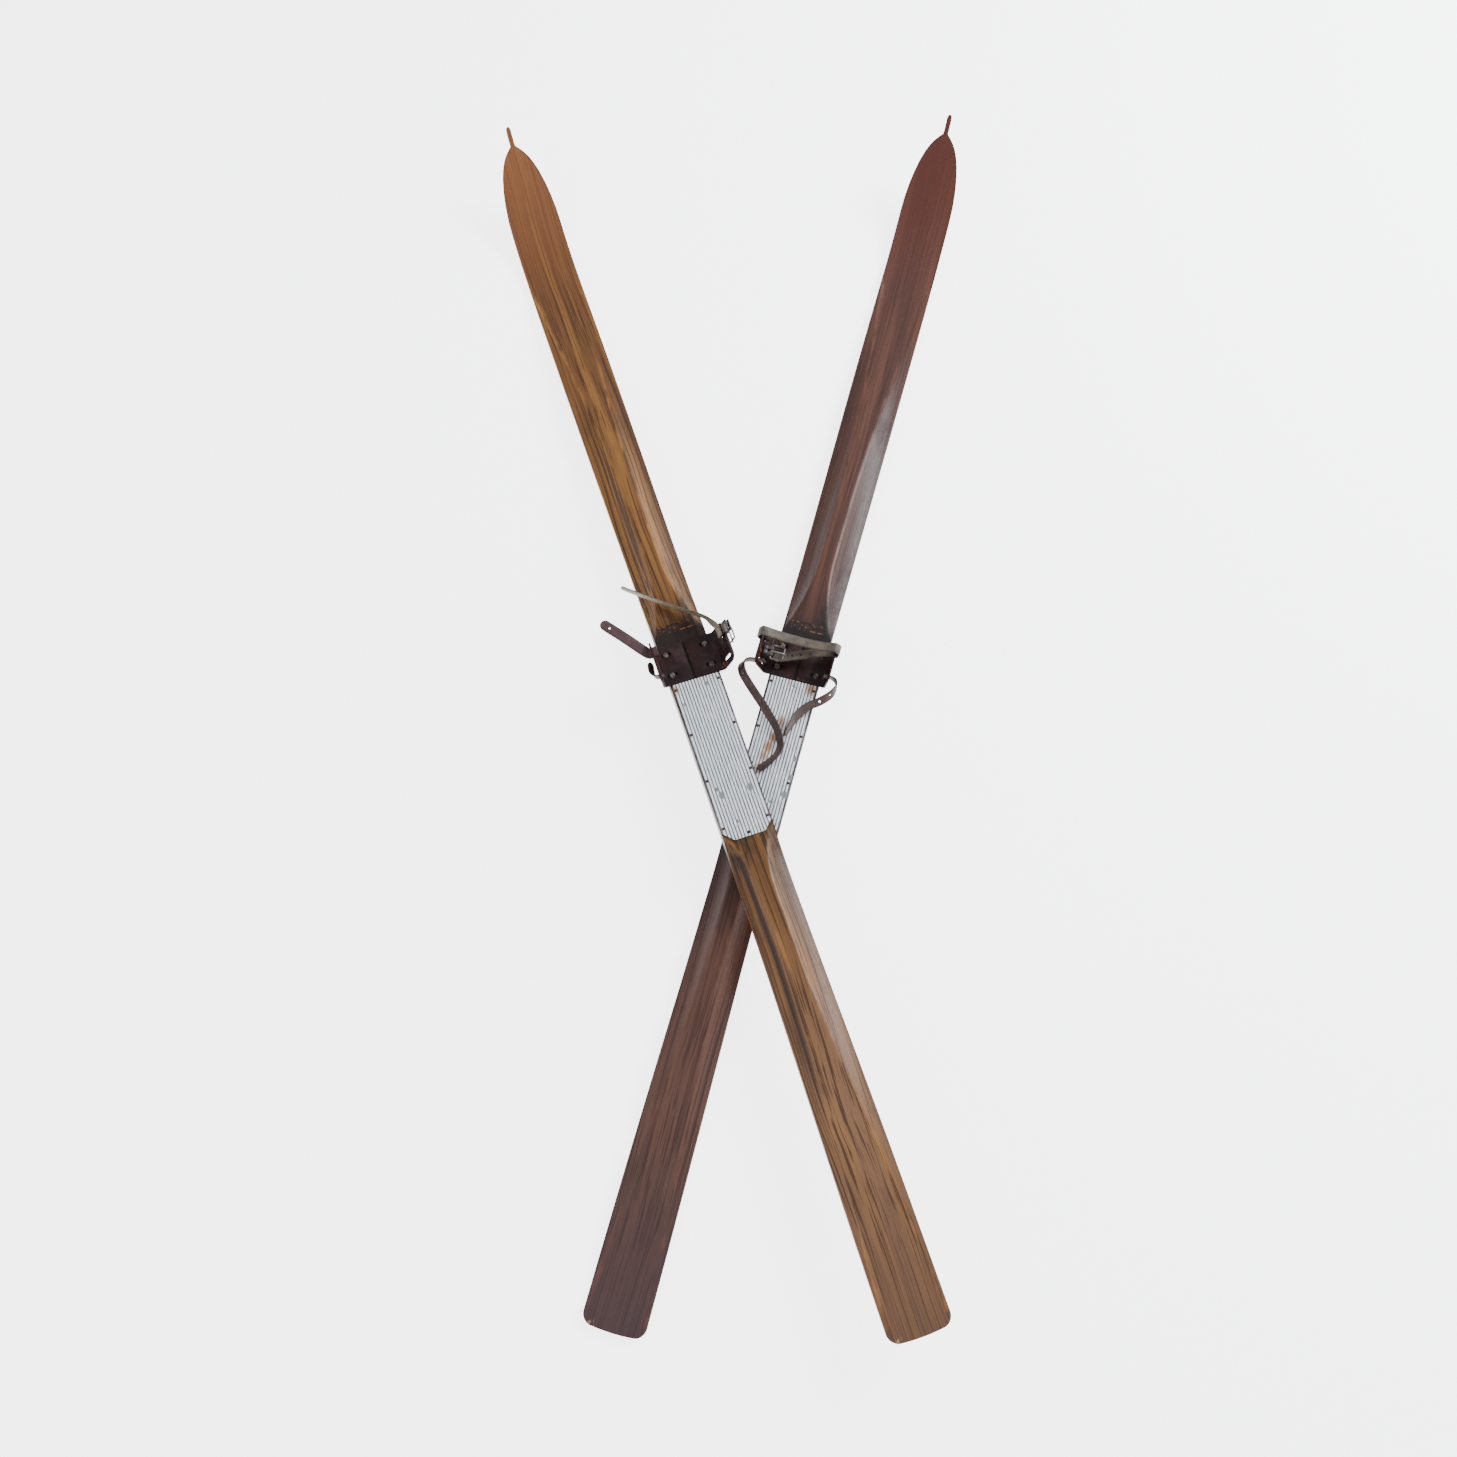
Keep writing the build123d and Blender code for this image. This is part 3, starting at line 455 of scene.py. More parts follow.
def make_plate(name):
    """The ribbed sheet: a slab of rows and columns pressed into ribs, then dented."""
    pitch = rib_pitch * np.arange(-(rib_count // 2), rib_count // 2 + 1)
    profile = [(-plate_half, 0.0)]
    for middle in pitch:
        profile += [(middle - rib_foot, 0.0), (middle - rib_crown, 1.0), (middle, 1.06)]
        profile += [(middle + rib_crown, 1.0), (middle + rib_foot, 0.0)]
    profile += [(plate_half, 0.0)]
    across, height = np.array(profile).T
    bpy.ops.mesh.primitive_grid_add(
        x_subdivisions=len(profile) - 1, y_subdivisions=plate_steps - 1, size=2
    )
    plate = bpy.context.object
    plate.name = f"{name}_ribbed_plate"
    bpy.ops.object.mode_set(mode="EDIT")
    bpy.ops.mesh.select_all(action="SELECT")
    bpy.ops.mesh.extrude_region_move(TRANSFORM_OT_translate={"value": (0, 0, -1)})
    bpy.ops.object.mode_set(mode="OBJECT")
    slab = np.array([v.co for v in plate.data.vertices])
    column = np.rint((slab[:, 0] + 1) / 2 * (len(profile) - 1)).astype(int)
    run = (slab[:, 1] + 1) / 2
    x = across[column]
    start = plate_rear + np.maximum(np.abs(x) - (plate_half - plate_corner), 0)
    y = start + (plate_front - start) * run
    crush = np.zeros(len(x))
    for dent_x, dent_y, radius in dents[name]:
        reach = np.hypot(x - dent_x, (y - dent_y) * 0.8) / radius
        crush = np.maximum(crush, np.clip(dent_reach - reach, 0, 1))
    ripple = 0.00005 * np.sin(y * 260 + column * 1.7) + 0.00004 * np.sin(y * 611 + column * 2.9)
    top = plate_gauge + height[column] * (rib_height * (1 - dent_depth * crush) + ripple)
    z = deck_z + np.where(slab[:, 2] > -0.5, top, underside_gap)
    plate.data.vertices.foreach_set("co", np.stack([x, y, z], axis=1).ravel())
    bpy.ops.object.mode_set(mode="EDIT")
    bpy.ops.mesh.select_all(action="SELECT")
    bpy.ops.mesh.normals_make_consistent(inside=False)
    bpy.ops.object.mode_set(mode="OBJECT")
    bpy.ops.object.shade_smooth_by_angle(angle=radians(25))
    keep_lie(plate.data)
    settle(plate, name)
    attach(plate, f"{name}_ski")
    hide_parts(f"{name}_foot_plate")
    return plate


def plate_finish(name):
    """Aluminium: bright rib tops, furrows of painted shade and dirt, dull dents, scratches, rust spots and
    a painted reflection of a strap.
    """
    material, shader, start = new_finish(f"{name}_aluminium")
    lie = start.node("ShaderNodeAttribute", {"attribute_name": "lie"}, output=1)
    x, y, z = lie.split()
    furrow = z.between(plate_top - 0.00030, deck_z + plate_gauge + 0.0002)
    dirt = lie.noise(150, (1, 0.25, 1), 4.0, 0.65).between(0.30, 0.62)
    cloud = lie.noise(45, (1, 0.6, 1), 4.0, 0.6)
    scratch = lie.noise(420, (3, 0.12, 3), 2.0, 0.6, (4, 0, 1)).between(0.60, 0.68)
    spots = lie.noise(330, (1, 1, 1), 2.0, 0.5, (1, 6, 1)).between(0.70, 0.76)
    crushed = None
    for dent_x, dent_y, radius in dents[name]:
        far = ((x - dent_x) ** 2 + ((y - dent_y) * 0.8) ** 2) ** 0.5 + (cloud - 0.5) * 0.008
        near = far.between(radius * 1.15, radius * 0.6)
        crushed = near if crushed is None else crushed.most(near)
    rust_and_reflection = None
    for spot_x, spot_y, radius, strength in rust_and_reflection_spots[name]:
        far = ((x - spot_x) ** 2 + ((y - spot_y) * 0.6) ** 2) ** 0.5 + (cloud - 0.5) * 0.006
        near = far.between(radius * 1.1, radius * 0.2) * strength
        rust_and_reflection = near if rust_and_reflection is None else rust_and_reflection.most(near)
    colour = cloud.between(0.35, 0.70).mix((0.95, 0.98, 1.0), (0.82, 0.88, 0.94))
    # The furrows between the ribs: painted shade, made uneven by dirt.
    colour = (furrow * (0.74 + 0.26 * dirt)).mix(colour, (0.050, 0.036, 0.046))
    colour = (spots * 0.85).mix(colour, (0.16, 0.13, 0.12))
    colour = (scratch * 0.30 * (1 - furrow)).mix(colour, (0.93, 0.95, 0.97))
    colour = (crushed * (0.62 + 0.38 * dirt)).mix(colour, (0.22, 0.235, 0.245))
    # Rust spots, and on the lower plate the painted reflection of the heel strap.
    colour = (rust_and_reflection * (0.92 - 0.20 * furrow)).mix(colour, (0.36, 0.155, 0.050))
    rough = 0.34 + 0.16 * cloud + 0.20 * furrow + 0.20 * crushed + 0.22 * rust_and_reflection
    metal = 0.62 - 0.50 * furrow - 0.3 * rust_and_reflection
    relief = cloud * 0.6 - scratch * 0.4 - spots * 0.8
    feed(shader, Base_Color=colour, Roughness=rough, Metallic=metal, Normal=relief.bump(0.25, 0.0003))
    return material


for name in skis:
    make_plate(name).data.materials.append(plate_finish(name))

# ------------------------------------------------------------------ the toe irons
# Each is bent from two halves of sheet steel with slots for the screws and the straps.
# They are nearly black-red with old lacquer, dull where it is worn, and rusty in spots.
body_nodes = frame["record"]["behaviour"]["bodies"]
bodies = {node: body for body, nodes in body_nodes.items() for node in nodes}
merge_reach, facet_angle = 0.00001, radians(1.0)


def dress(node, name, width, segments=2, angle=36):
    """A copy of a CAD solid, its doubles merged and flat faces joined, edges rounded."""
    piece = bpy.data.objects[node].copy()
    piece.data = piece.data.copy()
    piece.data.materials.clear()
    piece.name = name
    bpy.context.collection.objects.link(piece)
    piece.hide_render = False
    bpy.ops.object.select_all(action="DESELECT")
    bpy.context.view_layer.objects.active = piece
    piece.select_set(True)
    bpy.ops.object.mode_set(mode="EDIT")
    bpy.ops.mesh.select_all(action="SELECT")
    bpy.ops.mesh.remove_doubles(threshold=merge_reach)
    bpy.ops.mesh.dissolve_limited(angle_limit=facet_angle)
    bpy.ops.object.mode_set(mode="OBJECT")
    bevel = piece.modifiers.new("edges", "BEVEL")
    bevel.width = width
    bevel.segments = segments
    bevel.limit_method = "ANGLE"
    bevel.angle_limit = radians(angle)
    bevel.harden_normals = False
    bpy.ops.object.modifier_apply(modifier=bevel.name)
    bpy.ops.object.shade_smooth_by_angle(angle=radians(38))
    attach(piece, bodies[node])
    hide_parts(node)
    return piece


def iron_finish():
    """Old dark red lacquer on steel, with bloom, patches of rust and pits."""
    material, shader, start = new_finish("lacquered_iron")
    place = start.node("ShaderNodeTexCoord", output=3)
    cloud = place.noise(24, detail=5.0, rough=0.62)
    fine = place.noise(260, detail=4.0, rough=0.7)
    bloom = place.noise(38, detail=4.0, rough=0.6, shift=(3, 1, 4)).between(0.50, 0.70)
    patches = place.noise(52, detail=5.0, rough=0.7, shift=(7, 2, 1))
    rust = (patches + (fine - 0.5) * 0.3).between(0.60, 0.70)
    pits = place.noise(420, detail=2.0, rough=0.5, shift=(1, 8, 3)).between(0.62, 0.70)
    colour = cloud.between(0.32, 0.66).mix((0.030, 0.006, 0.005), (0.009, 0.0025, 0.003))
    colour = (bloom * 0.5).mix(colour, (0.055, 0.028, 0.030))
    colour = (rust * 0.8).mix(colour, (0.210, 0.068, 0.020))
    colour = (pits * 0.7).mix(colour, (0.010, 0.007, 0.007))
    rough = 0.34 + 0.20 * cloud + 0.12 * bloom + 0.28 * rust
    relief = fine * 0.5 + rust * 0.5 - pits * 0.6
    feed(shader, Base_Color=colour, Roughness=rough, Metallic=0.25 - 0.2 * rust)
    feed(shader, Normal=relief.bump(0.35, 0.0004), Specular_IOR_Level=0.3)
    return material


lacquer = iron_finish()
for name in skis:
    for hand in ("left", "right"):
        iron = dress(f"{name}_toe_iron_{hand}", f"{name}_iron_{hand}", 0.0006, 3)
        iron.data.materials.append(lacquer)

# ------------------------------------------------------------------ nails, screws, rivets
# Small turned fastenings. The nails are rusty brown, the screw heads are worn bright by the driver, and
# the rivets have a dull blue-grey skin.


def metal_finish(name, clean, dull, rusty, share, low, metallic):
    """Worn metal: a clean tone, a dull one in clouds, and rust over a share of it."""
    material, shader, start = new_finish(name)
    place = start.node("ShaderNodeTexCoord", output=3)
    cloud = place.noise(190, detail=3.0, rough=0.6)
    fine = place.noise(900, detail=3.0, rough=0.65, shift=(2, 5, 1))
    rust = (place.noise(300, detail=4.0, rough=0.65, shift=(6, 1, 3)) + share).between(0.52, 0.66)
    colour = cloud.between(0.35, 0.65).mix(clean, dull)
    colour = rust.mix(colour, rusty)
    feed(shader, Base_Color=colour, Roughness=low + 0.25 * cloud + 0.3 * rust)
    feed(shader, Metallic=metallic * (1 - 0.8 * rust), Normal=(fine + rust * 0.6).bump(0.3, 0.0002))
    return material


nail_iron = metal_finish(
    "nail_iron", clean=(0.070, 0.030, 0.022), dull=(0.030, 0.014, 0.012),
    rusty=(0.110, 0.036, 0.014), share=0.03, low=0.42, metallic=0.5,
)
screw_steel = metal_finish(
    "screw_steel", clean=(0.20, 0.18, 0.165), dull=(0.070, 0.048, 0.044),
    rusty=(0.055, 0.020, 0.014), share=0.03, low=0.36, metallic=0.7,
)
rivet_skin = metal_finish(
    "rivet_skin", clean=(0.17, 0.19, 0.22), dull=(0.090, 0.095, 0.105),
    rusty=(0.10, 0.05, 0.03), share=-0.08, low=0.34, metallic=0.7,
)
for name in skis:
    nails = dress(f"{name}_plate_nails", f"{name}_nails", 0.0005, 3, 60)
    nails.data.materials.append(nail_iron)
    screws = dress(f"{name}_iron_screws", f"{name}_screws", 0.0003, 2, 30)
    screws.data.materials.append(screw_steel)
    rivets = dress(f"{name}_chape_rivets", f"{name}_buckle_rivets", 0.0003)
    rivets.data.materials.append(rivet_skin)
strap_rivets = dress("lower_heel_rivets", "lower_strap_rivets", 0.0003)
strap_rivets.data.materials.append(rivet_skin)

# ------------------------------------------------------------------ the buckles
# A frame of steel wire bent round, and a flat tongue whose eye turns on the frame's bar.
# Both are tarnished grey-brown, with small rust spots.
tarnish = metal_finish(
    "tarnished_steel", clean=(0.23, 0.22, 0.21), dull=(0.085, 0.075, 0.072),
    rusty=(0.10, 0.045, 0.022), share=-0.02, low=0.30, metallic=0.85,
)
for name in skis:
    wire = dress(f"{name}_buckle_frame", f"{name}_buckle_wire", 0.0002)
    wire.data.materials.append(tarnish)
    pin = dress(f"{name}_buckle_tongue", f"{name}_buckle_pin", 0.00025)
    pin.data.materials.append(tarnish)

# ------------------------------------------------------------------ the straps
# Vegetable-tanned leather cut in long ribbons, creased along both edges by the maker. Dry,
# stiff and cracked, they keep the curves that they dried in. The holes are punched.
strap_width, strap_gauge = 0.014, 0.0024
side_width, heel_width, long_width, long_gauge = 0.0155, 0.012, 0.011, 0.0018
punch_radius = 0.0017
rivet_hole = 0.00145
iron_gauge, iron_half, iron_level = 0.0025, 0.045, 0.0393
flares = {"open": radians(27), "upright": radians(6)}
toe_slot, heel_slot = (0.928, 0.021), (0.8905, 0.0175)


def by_ear(side, flare, up, out, y):
    """A point beside an ear: so far up it, and so far outwards from its middle."""
    tilt = flares[flare]
    ear_x = side * (iron_half + up * sin(tilt) + out * cos(tilt))
    return (ear_x, y, iron_level + up * cos(tilt) - out * sin(tilt))


def ear_up(side, flare):
    """The direction that runs up an ear."""
    return (side * sin(flares[flare]), 0, cos(flares[flare]))


def through(points, share):
    """A smooth curve through points, at shares from 0 to their number less one."""
    points = np.array(points, dtype=float)
    ends = np.vstack([2 * points[0] - points[1], points, 2 * points[-1] - points[-2]])
    at = np.clip(share, 0, len(points) - 1.000001)
    i = at.astype(int)
    t = (at - i)[:, None]
    p0, p1, p2, p3 = ends[i], ends[i + 1], ends[i + 2], ends[i + 3]
    slope_in, slope_out = (p2 - p0) / 2, (p3 - p1) / 2
    curve = (2 * t**3 - 3 * t**2 + 1) * p1 + (t**3 - 2 * t**2 + t) * slope_in
    return curve + (3 * t**2 - 2 * t**3) * p2 + (t**3 - t**2) * slope_out


def make_strap(node, name, ski, points, widths, width, gauge, holes, hole_radius, leather):
    """A ribbon laid along its middle line, crowned and creased, then punched."""
    columns, per_span, tip_rows, spread = 13, 9, 8, 0.93
    crease_at, crease_depth, crease_width = 0.80, 0.00016, 0.05
    shares = np.linspace(0, len(points) - 1, (len(points) - 1) * per_span + 1)
    middle = through(points, shares)
    along = np.gradient(middle, axis=0)
    along /= np.linalg.norm(along, axis=1)[:, None]
    wide = through(np.array([np.array(w) / np.linalg.norm(w) for w in widths]), shares)
    wide -= along * (wide * along).sum(axis=1)[:, None]
    wide /= np.linalg.norm(wide, axis=1)[:, None]
    steps = np.concatenate([[0], np.cumsum(np.linalg.norm(np.diff(middle, axis=0), axis=1))])
    # The round tip: extra rows past the last point.
    tip = np.sin(np.linspace(0, pi / 2, tip_rows + 1))[1:]
    middle = np.vstack([middle, middle[-1] + along[-1] * (tip * width / 2)[:, None]])
    along = np.vstack([along, np.repeat(along[-1:], tip_rows, axis=0)])
    wide = np.vstack([wide, np.repeat(wide[-1:], tip_rows, axis=0)])
    steps = np.concatenate([steps, steps[-1] + tip * width / 2])
    narrowing = np.concatenate([np.ones(len(shares)), np.sqrt(np.clip(1 - tip**2, 0.004, 1))])
    rows = len(middle)
    bpy.ops.mesh.primitive_grid_add(x_subdivisions=columns - 1, y_subdivisions=rows - 1, size=2)
    strap = bpy.context.object
    strap.name = name
    bpy.ops.object.mode_set(mode="EDIT")
    bpy.ops.mesh.select_all(action="SELECT")
    bpy.ops.mesh.extrude_region_move(TRANSFORM_OT_translate={"value": (0, 0, -1)})
    bpy.ops.object.mode_set(mode="OBJECT")
    slab = np.array([v.co for v in strap.data.vertices])
    column = np.rint((slab[:, 0] + 1) / 2 * (columns - 1)).astype(int)
    row = np.rint((slab[:, 1] + 1) / 2 * (rows - 1)).astype(int)
    share = np.sin(np.linspace(-pi / 2, pi / 2, columns) * spread) / np.sin(pi / 2 * spread)
    u = share[column] * narrowing[row]
    face = np.cross(wide, along)[row]
    near_edge = np.abs(np.abs(share[column]) - crease_at)
    crease = crease_depth * np.exp(-((near_edge / crease_width) ** 2))
    thick = gauge / 2 * (1 - 0.30 * np.abs(share[column]) ** 6) - crease
    worn = 0.00012 * np.sin(steps[row] * 320 + u * 2.0) * np.sin(steps[row] * 97)
    side = np.where(slab[:, 2] > -0.5, 1.0, -1.0)
    place = middle[row] + wide[row] * (u * width / 2)[:, None] + face * (side * thick + worn)[:, None]
    strap.data.vertices.foreach_set("co", place.ravel())
    lie = strap.data.attributes.new("lie", "FLOAT_VECTOR", "POINT")
    lie.data.foreach_set("vector", np.stack([u * width / 2, steps[row], side * thick], axis=1).ravel())
    bpy.ops.object.mode_set(mode="EDIT")
    bpy.ops.mesh.select_all(action="SELECT")
    bpy.ops.mesh.normals_make_consistent(inside=False)
    bpy.ops.object.mode_set(mode="OBJECT")
    edge = strap.modifiers.new("edge", "BEVEL")
    edge.width = gauge * 0.18
    edge.segments = 2
    edge.limit_method = "ANGLE"
    edge.angle_limit = radians(50)
    bpy.ops.object.modifier_apply(modifier=edge.name)
    for hole in holes:
        at = int(round(hole * per_span))
        facing = Vector(np.cross(wide, along)[at]).to_track_quat("Z", "Y").to_euler()
        bpy.ops.mesh.primitive_cylinder_add(
            vertices=20, radius=hole_radius, depth=gauge * 3, location=middle[at], rotation=facing
        )
        punch = bpy.context.object
        bpy.context.view_layer.objects.active = strap
        cut = strap.modifiers.new("punch", "BOOLEAN")
        cut.operation = "DIFFERENCE"
        cut.solver = "EXACT"
        cut.object = punch
        bpy.ops.object.modifier_apply(modifier=cut.name)
        bpy.data.objects.remove(punch)
    bpy.ops.object.select_all(action="DESELECT")
    bpy.context.view_layer.objects.active = strap
    strap.select_set(True)
    bpy.ops.object.shade_smooth_by_angle(angle=radians(40))
    settle(strap, ski)
    strap.data.materials.append(leather)
    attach(strap, bodies[node])
    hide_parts(node)
    return strap


def leather_finish(name, pale, middle, dark, scuffed, share, half):
    """Dry leather: mottled dye, fine cracks across it, pale scuffs and dark edges."""
    material, shader, start = new_finish(name)
    lie = start.node("ShaderNodeAttribute", {"attribute_name": "lie"}, output=1)
    u, run, thick = lie.split()
    mottle = lie.noise(75, (1, 0.6, 1), 4.0, 0.6)
    grain = lie.noise(1400, (1, 1, 1), 3.0, 0.6)
    cracks = lie.noise(420, (0.5, 2.2, 0.5), 3.0, 0.7, (3, 1, 2)).between(0.56, 0.70)
    scuffs = lie.noise(150, (1.4, 0.7, 1), 4.0, 0.65, (8, 3, 1)).between(0.60 - share, 0.74 - share)
    edge = abs(u).between(half * 0.78, half * 0.99)
    crease = abs(abs(u) - half * 0.80).between(half * 0.07, 0.0)
    colour = mottle.between(0.32, 0.66).mix(pale, middle)
    colour = (cracks * 0.6).mix(colour, dark)
    colour = (scuffs * 0.65).mix(colour, scuffed)
    colour = (edge * 0.6).mix(colour, dark)
    colour = (crease * 0.55).mix(colour, dark)
    rough = 0.44 + 0.18 * mottle + 0.12 * cracks + 0.10 * scuffs
    relief = grain * 0.35 - cracks * 0.9 + mottle * 0.5 - crease * 0.6
    feed(shader, Base_Color=colour, Roughness=rough, Normal=relief.bump(0.55, 0.0004))
    return material


olive = leather_finish(
    "olive_leather", pale=(0.118, 0.088, 0.056), middle=(0.052, 0.036, 0.029),
    dark=(0.016, 0.010, 0.009), scuffed=(0.18, 0.145, 0.095), share=0.02, half=strap_width / 2,
)
brown = leather_finish(
    "dark_leather", pale=(0.070, 0.033, 0.024), middle=(0.034, 0.016, 0.014),
    dark=(0.011, 0.006, 0.006), scuffed=(0.19, 0.13, 0.10), share=0.0, half=heel_width / 2,
)
maroon = leather_finish(
    "maroon_leather", pale=(0.078, 0.030, 0.028), middle=(0.040, 0.016, 0.016),
    dark=(0.013, 0.007, 0.008), scuffed=(0.14, 0.07, 0.055), share=-0.02, half=strap_width / 2,
)
tan = leather_finish(
    "tan_leather", pale=(0.200, 0.160, 0.100), middle=(0.115, 0.088, 0.056),
    dark=(0.035, 0.022, 0.016), scuffed=(0.26, 0.22, 0.15), share=0.02, half=long_width / 2,
)

# The lower ski's toe strap wraps the left ear's top, crosses, goes round the right ear and
# comes back through its slot, with its punched end loose inside.
crosswise, upright = (0, 1, 0), (0, 0, 1)
loose_wrap = [
    (-0.009, 0.020), (-0.003, 0.021), (0.0032, 0.021), (0.0059, 0.0235),
    (0.0070, 0.029), (0.0056, 0.0346), (0.001, 0.038), (-0.005, 0.0384),
]
tight_wrap = [
    (-0.005, 0.0384), (0.001, 0.0377), (0.0046, 0.0342), (0.0052, 0.029),
    (0.0046, 0.024), (0.0032, 0.021), (-0.003, 0.021),
]
toe_points = [by_ear(-1, "open", up, out, toe_slot[0]) for out, up in loose_wrap]
across_top = ((-0.036, 0.0715), (-0.014, 0.0695), (0.010, 0.0695), (0.030, 0.0725))
toe_points += [(x, toe_slot[0], z) for x, z in across_top]
toe_points += [by_ear(1, "upright", up, out, toe_slot[0]) for out, up in tight_wrap]
toe_points += [
    (0.030, 0.925, 0.058), (0.014, 0.919, 0.0564), (0.001, 0.914, 0.0552),
    (-0.011, 0.9095, 0.0546), (-0.022, 0.905, 0.0543), (-0.030, 0.902, 0.0543),
]
last = len(toe_points) - 1
toe_widths = [crosswise] * (last - 4) + [(0.28, 1, 0), (0.38, 1, 0)] + [(0.42, 1, 0)] * 3
toe_holes = (last - 4, last - 3, last - 2)
toe_strap = make_strap(
    "lower_toe_strap", "lower_strap_over_toe", "lower", toe_points, toe_widths,
    strap_width, strap_gauge, toe_holes, punch_radius, olive,
)

# The heel strap's two ends leave the slots at the back of the ears and hang back over the
# foot plate, half on edge. The left one ends on the plate and has two rivets.
left_points = [by_ear(-1, "open", heel_slot[1], out, heel_slot[0]) for out in (-0.007, 0, 0.006)]
left_points += [
    (-0.068, 0.889, 0.053), (-0.0755, 0.884, 0.053), (-0.077, 0.875, 0.0527), (-0.072, 0.8655, 0.052),
    (-0.064, 0.857, 0.0513), (-0.053, 0.8465, 0.0505), (-0.036, 0.831, 0.049), (-0.020, 0.8155, 0.048),
    (-0.006, 0.801, 0.0473), (0.003, 0.786, 0.0468), (0.007, 0.775, 0.0463), (0.005, 0.762, 0.0456),
    (-0.003, 0.748, 0.0446), (-0.010, 0.739, 0.0438),
]
left_widths = [ear_up(-1, "open")] * 3
left_widths += [(0.1, 0.1, 1), (0.5, 0.2, 1), (1, 0.2, 0.8), (1, 0.5, 0.5), (1, 0.75, 0.4), (1, 0.9, 0.45)]
left_widths += [(1, 0.9, 0.7), (0.8, 0.8, 0.9), (0.7, 0.6, 1), (0.8, 0.5, 1), (0.9, 0.4, 1), (1, 0.2, 0.9)]
left_widths += [(1, -0.2, 0.7), (1, -0.6, 0.5)]
heel_left = make_strap(
    "lower_heel_strap_left", "lower_heel_end_left", "lower", left_points, left_widths,
    heel_width, strap_gauge, (5, 6), rivet_hole, brown,
)
right_points = [by_ear(1, "upright", heel_slot[1], out, heel_slot[0]) for out in (-0.007, 0, 0.006)]
right_points += [
    (0.059, 0.887, 0.0555), (0.061, 0.879, 0.0545), (0.056, 0.866, 0.053), (0.044, 0.853, 0.0515),
    (0.029, 0.841, 0.0503), (0.019, 0.826, 0.0496), (0.0135, 0.810, 0.0492), (0.0105, 0.797, 0.0488),
]
right_widths = [ear_up(1, "upright")] * 3
right_widths += [(0, 0.1, 1), (-0.1, 0.3, 1), (-0.5, 0.5, 0.8), (-0.75, 0.8, 0.5), (-0.8, 0.8, 0.5)]
right_widths += [(-0.8, 0.5, 0.6), (-0.5, 0.1, 0.9), (-0.3, 0, 1)]
heel_right = make_strap(
    "lower_heel_strap_right", "lower_heel_end_right", "lower", right_points, right_widths,
    heel_width, strap_gauge, (4, 5, 6), punch_radius, brown,
)

# The upper ski's stiff strap stands out forwards through the left ear's slot, the stub of
# its heel strap lies outside that ear, and a thin strap on edge crosses the plank.
side_points = [by_ear(-1, "upright", toe_slot[1], out, toe_slot[0]) for out in (-0.008, -0.001, 0.005)]
side_points += [
    (-0.060, 0.937, 0.0608), (-0.072, 0.953, 0.0626), (-0.084, 0.9685, 0.0642),
    (-0.094, 0.981, 0.0654), (-0.0985, 0.987, 0.066),
]
side_widths = [crosswise] * 3 + [(0.6, 0.75, 0)] + [(0.77, 0.62, 0)] * 4
side_strap = make_strap(
    "upper_strap_left", "upper_side_strap", "upper", side_points, side_widths,
    side_width, strap_gauge, (6,), punch_radius, maroon,
)
stub_run = [
    (-0.006, 0.0175, 0.8905), (0, 0.0175, 0.8905), (0.0055, 0.0175, 0.8915),
    (0.009, 0.0178, 0.8965), (0.0096, 0.0182, 0.903), (0.0084, 0.0186, 0.9095),
]
stub_points = [by_ear(-1, "upright", up, out, y) for out, up, y in stub_run]
stub_widths = [ear_up(-1, "upright")] * 3 + [(-0.5, 0, 1), (-0.8, 0, 1), (-0.8, 0, 1)]
heel_stub = make_strap(
    "upper_heel_stub", "upper_heel_end", "upper", stub_points, stub_widths,
    heel_width, strap_gauge, (), punch_radius, brown,
)
loop_stand = iron_gauge / 2 + 0.0004 + 0.00095
long_points = [by_ear(1, "open", 0.024, -loop_stand - 0.003, y) for y in (0.920, 0.936)]
long_points += [
    (0.0455, 0.950, 0.0585), (0.041, 0.959, 0.057), (0.033, 0.968, 0.0545), (0.022, 0.978, 0.0515),
    (0.006, 0.9925, 0.0485), (-0.012, 1.009, 0.0466), (-0.032, 1.0265, 0.0458), (-0.050, 1.042, 0.046),
    (-0.055, 1.0465, 0.0464),
]
long_widths = [ear_up(1, "open")] * 2 + [(0.3, 0, 1)] + [upright] * 8
long_strap = make_strap(
    "upper_strap_right", "upper_long_strap", "upper", long_points, long_widths,
    long_width, long_gauge, (8,), punch_radius, tan,
)

# ------------------------------------------------------------------ chapes and ear loop
# Short folds of the same leather: one round each buckle's bar, closed by two rivets, and a
# loop round the top of the upper ski's right ear.


def hide_finish(name, pale, dark, scuffed):
    """Thick dark leather with a pebbled face, for pieces without a ribbon's run."""
    material, shader, start = new_finish(name)
    place = start.node("ShaderNodeTexCoord", output=3)
    mottle = place.noise(110, detail=4.0, rough=0.6)
    pebble = place.noise(900, detail=3.0, rough=0.6)
    scuffs = place.noise(170, detail=4.0, rough=0.65, shift=(4, 4, 1)).between(0.56, 0.70)
    colour = mottle.between(0.32, 0.66).mix(pale, dark)
    colour = (scuffs * 0.6).mix(colour, scuffed)
    feed(shader, Base_Color=colour, Roughness=0.46 + 0.2 * mottle)
    feed(shader, Normal=(pebble + mottle).bump(0.5, 0.0004))
    return material


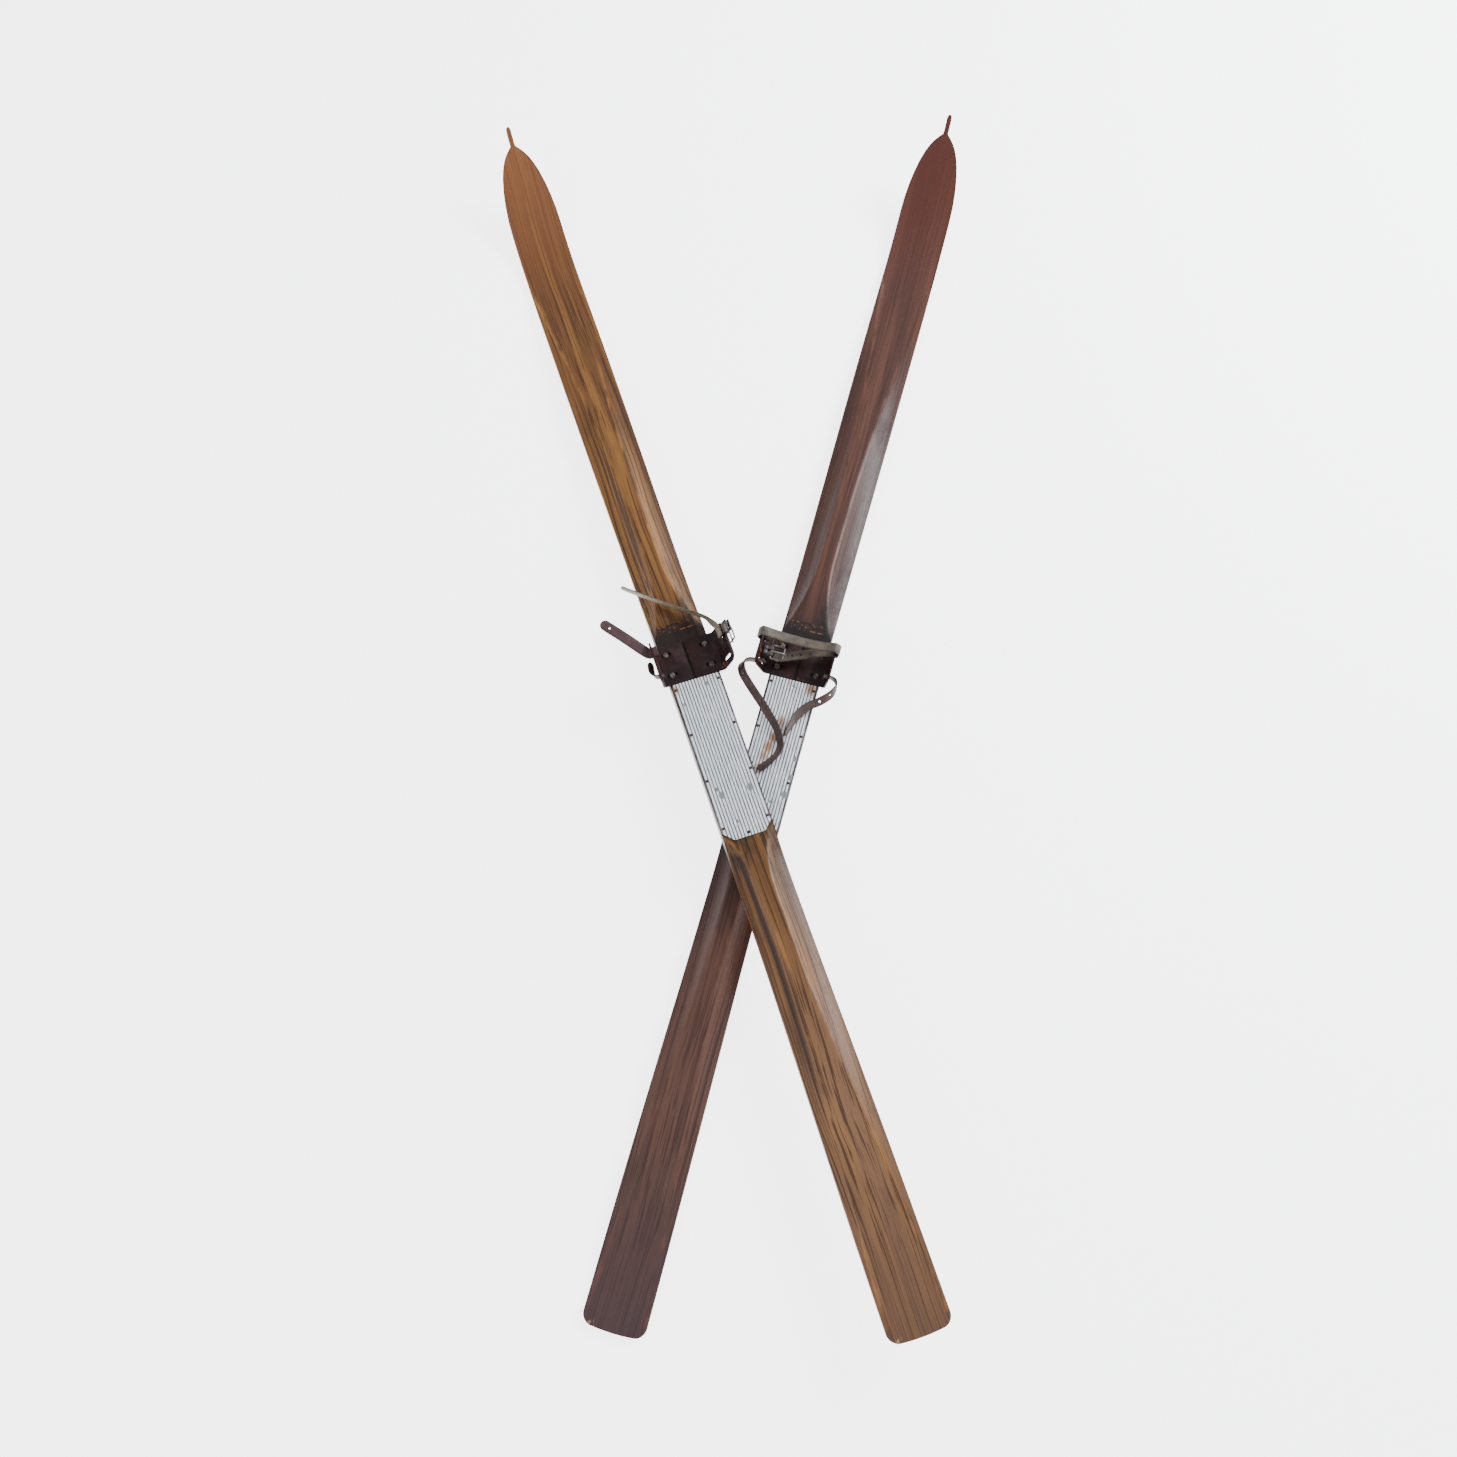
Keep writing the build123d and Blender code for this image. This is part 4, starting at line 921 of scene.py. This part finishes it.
hide = hide_finish(
    "folded_leather", pale=(0.060, 0.034, 0.030), dark=(0.024, 0.014, 0.014), scuffed=(0.125, 0.092, 0.075)
)
folds = {f"{name}_buckle_chape": f"{name}_chape" for name in skis}
folds["upper_ear_loop"] = "upper_loop"
for node, name in folds.items():
    dress(node, name, 0.0005, 3).data.materials.append(hide)

# ------------------------------------------------------------------ floor, light, camera
# A plain pale floor, lit evenly by a pale sky. One large soft lamp low on the right gives
# the bevels their sheen, and a weak one opposite fills the shadows.
bpy.ops.mesh.primitive_plane_add(size=14, location=(0, 0, -0.0004))
floor = bpy.context.object
floor.name = "floor"
pale, shader, _ = new_finish("pale_floor")
feed(shader, Base_Color=(0.94, 0.94, 0.94, 1), Roughness=0.9)
feed(shader, Emission_Color=(1, 1, 1, 1), Emission_Strength=3.6)
floor.data.materials.append(pale)

world = bpy.data.worlds.new("studio")
bpy.context.scene.world = world
world.use_nodes = True
sky = world.node_tree.nodes["Background"]
sky.inputs["Color"].default_value = (0.93, 0.96, 1.0, 1)
sky.inputs["Strength"].default_value = 0.86


def soft_light(name, place, aim, size, power, tone):
    """A square soft light that faces a point."""
    bpy.ops.object.light_add(type="AREA", location=place)
    lamp = bpy.context.object
    lamp.name = name
    lamp.data.size = size
    lamp.data.energy = power
    lamp.data.color = tone
    lamp.rotation_euler = (Vector(aim) - Vector(place)).to_track_quat("-Z", "Y").to_euler()


soft_light("window", place=(2.4, 1.3, 1.9), aim=(0, 0, 0), size=1.5, power=170, tone=(0.88, 0.94, 1.0))
soft_light("fill", place=(-2.0, -1.4, 2.2), aim=(0, 0, 0), size=2.2, power=18, tone=(1.0, 0.97, 0.93))

# The camera stands over the tail ends, looking down at the place where the skis cross.
lower_tail = Vector((-0.1409, -0.7887, 0))
camera_spot = skis["lower"].translation - lower_tail + Vector((0, -0.6241, 1.6492))
camera_dip, camera_roll = 69.27, 0.002
bpy.ops.object.camera_add(location=camera_spot)
camera = bpy.context.object
camera.name = "camera"
camera.data.lens = 30.04
camera.data.sensor_width = 36
camera.rotation_euler = (radians(90 - camera_dip), 0, 0)
camera.rotation_euler.rotate_axis("Z", camera_roll)
bpy.context.scene.camera = camera
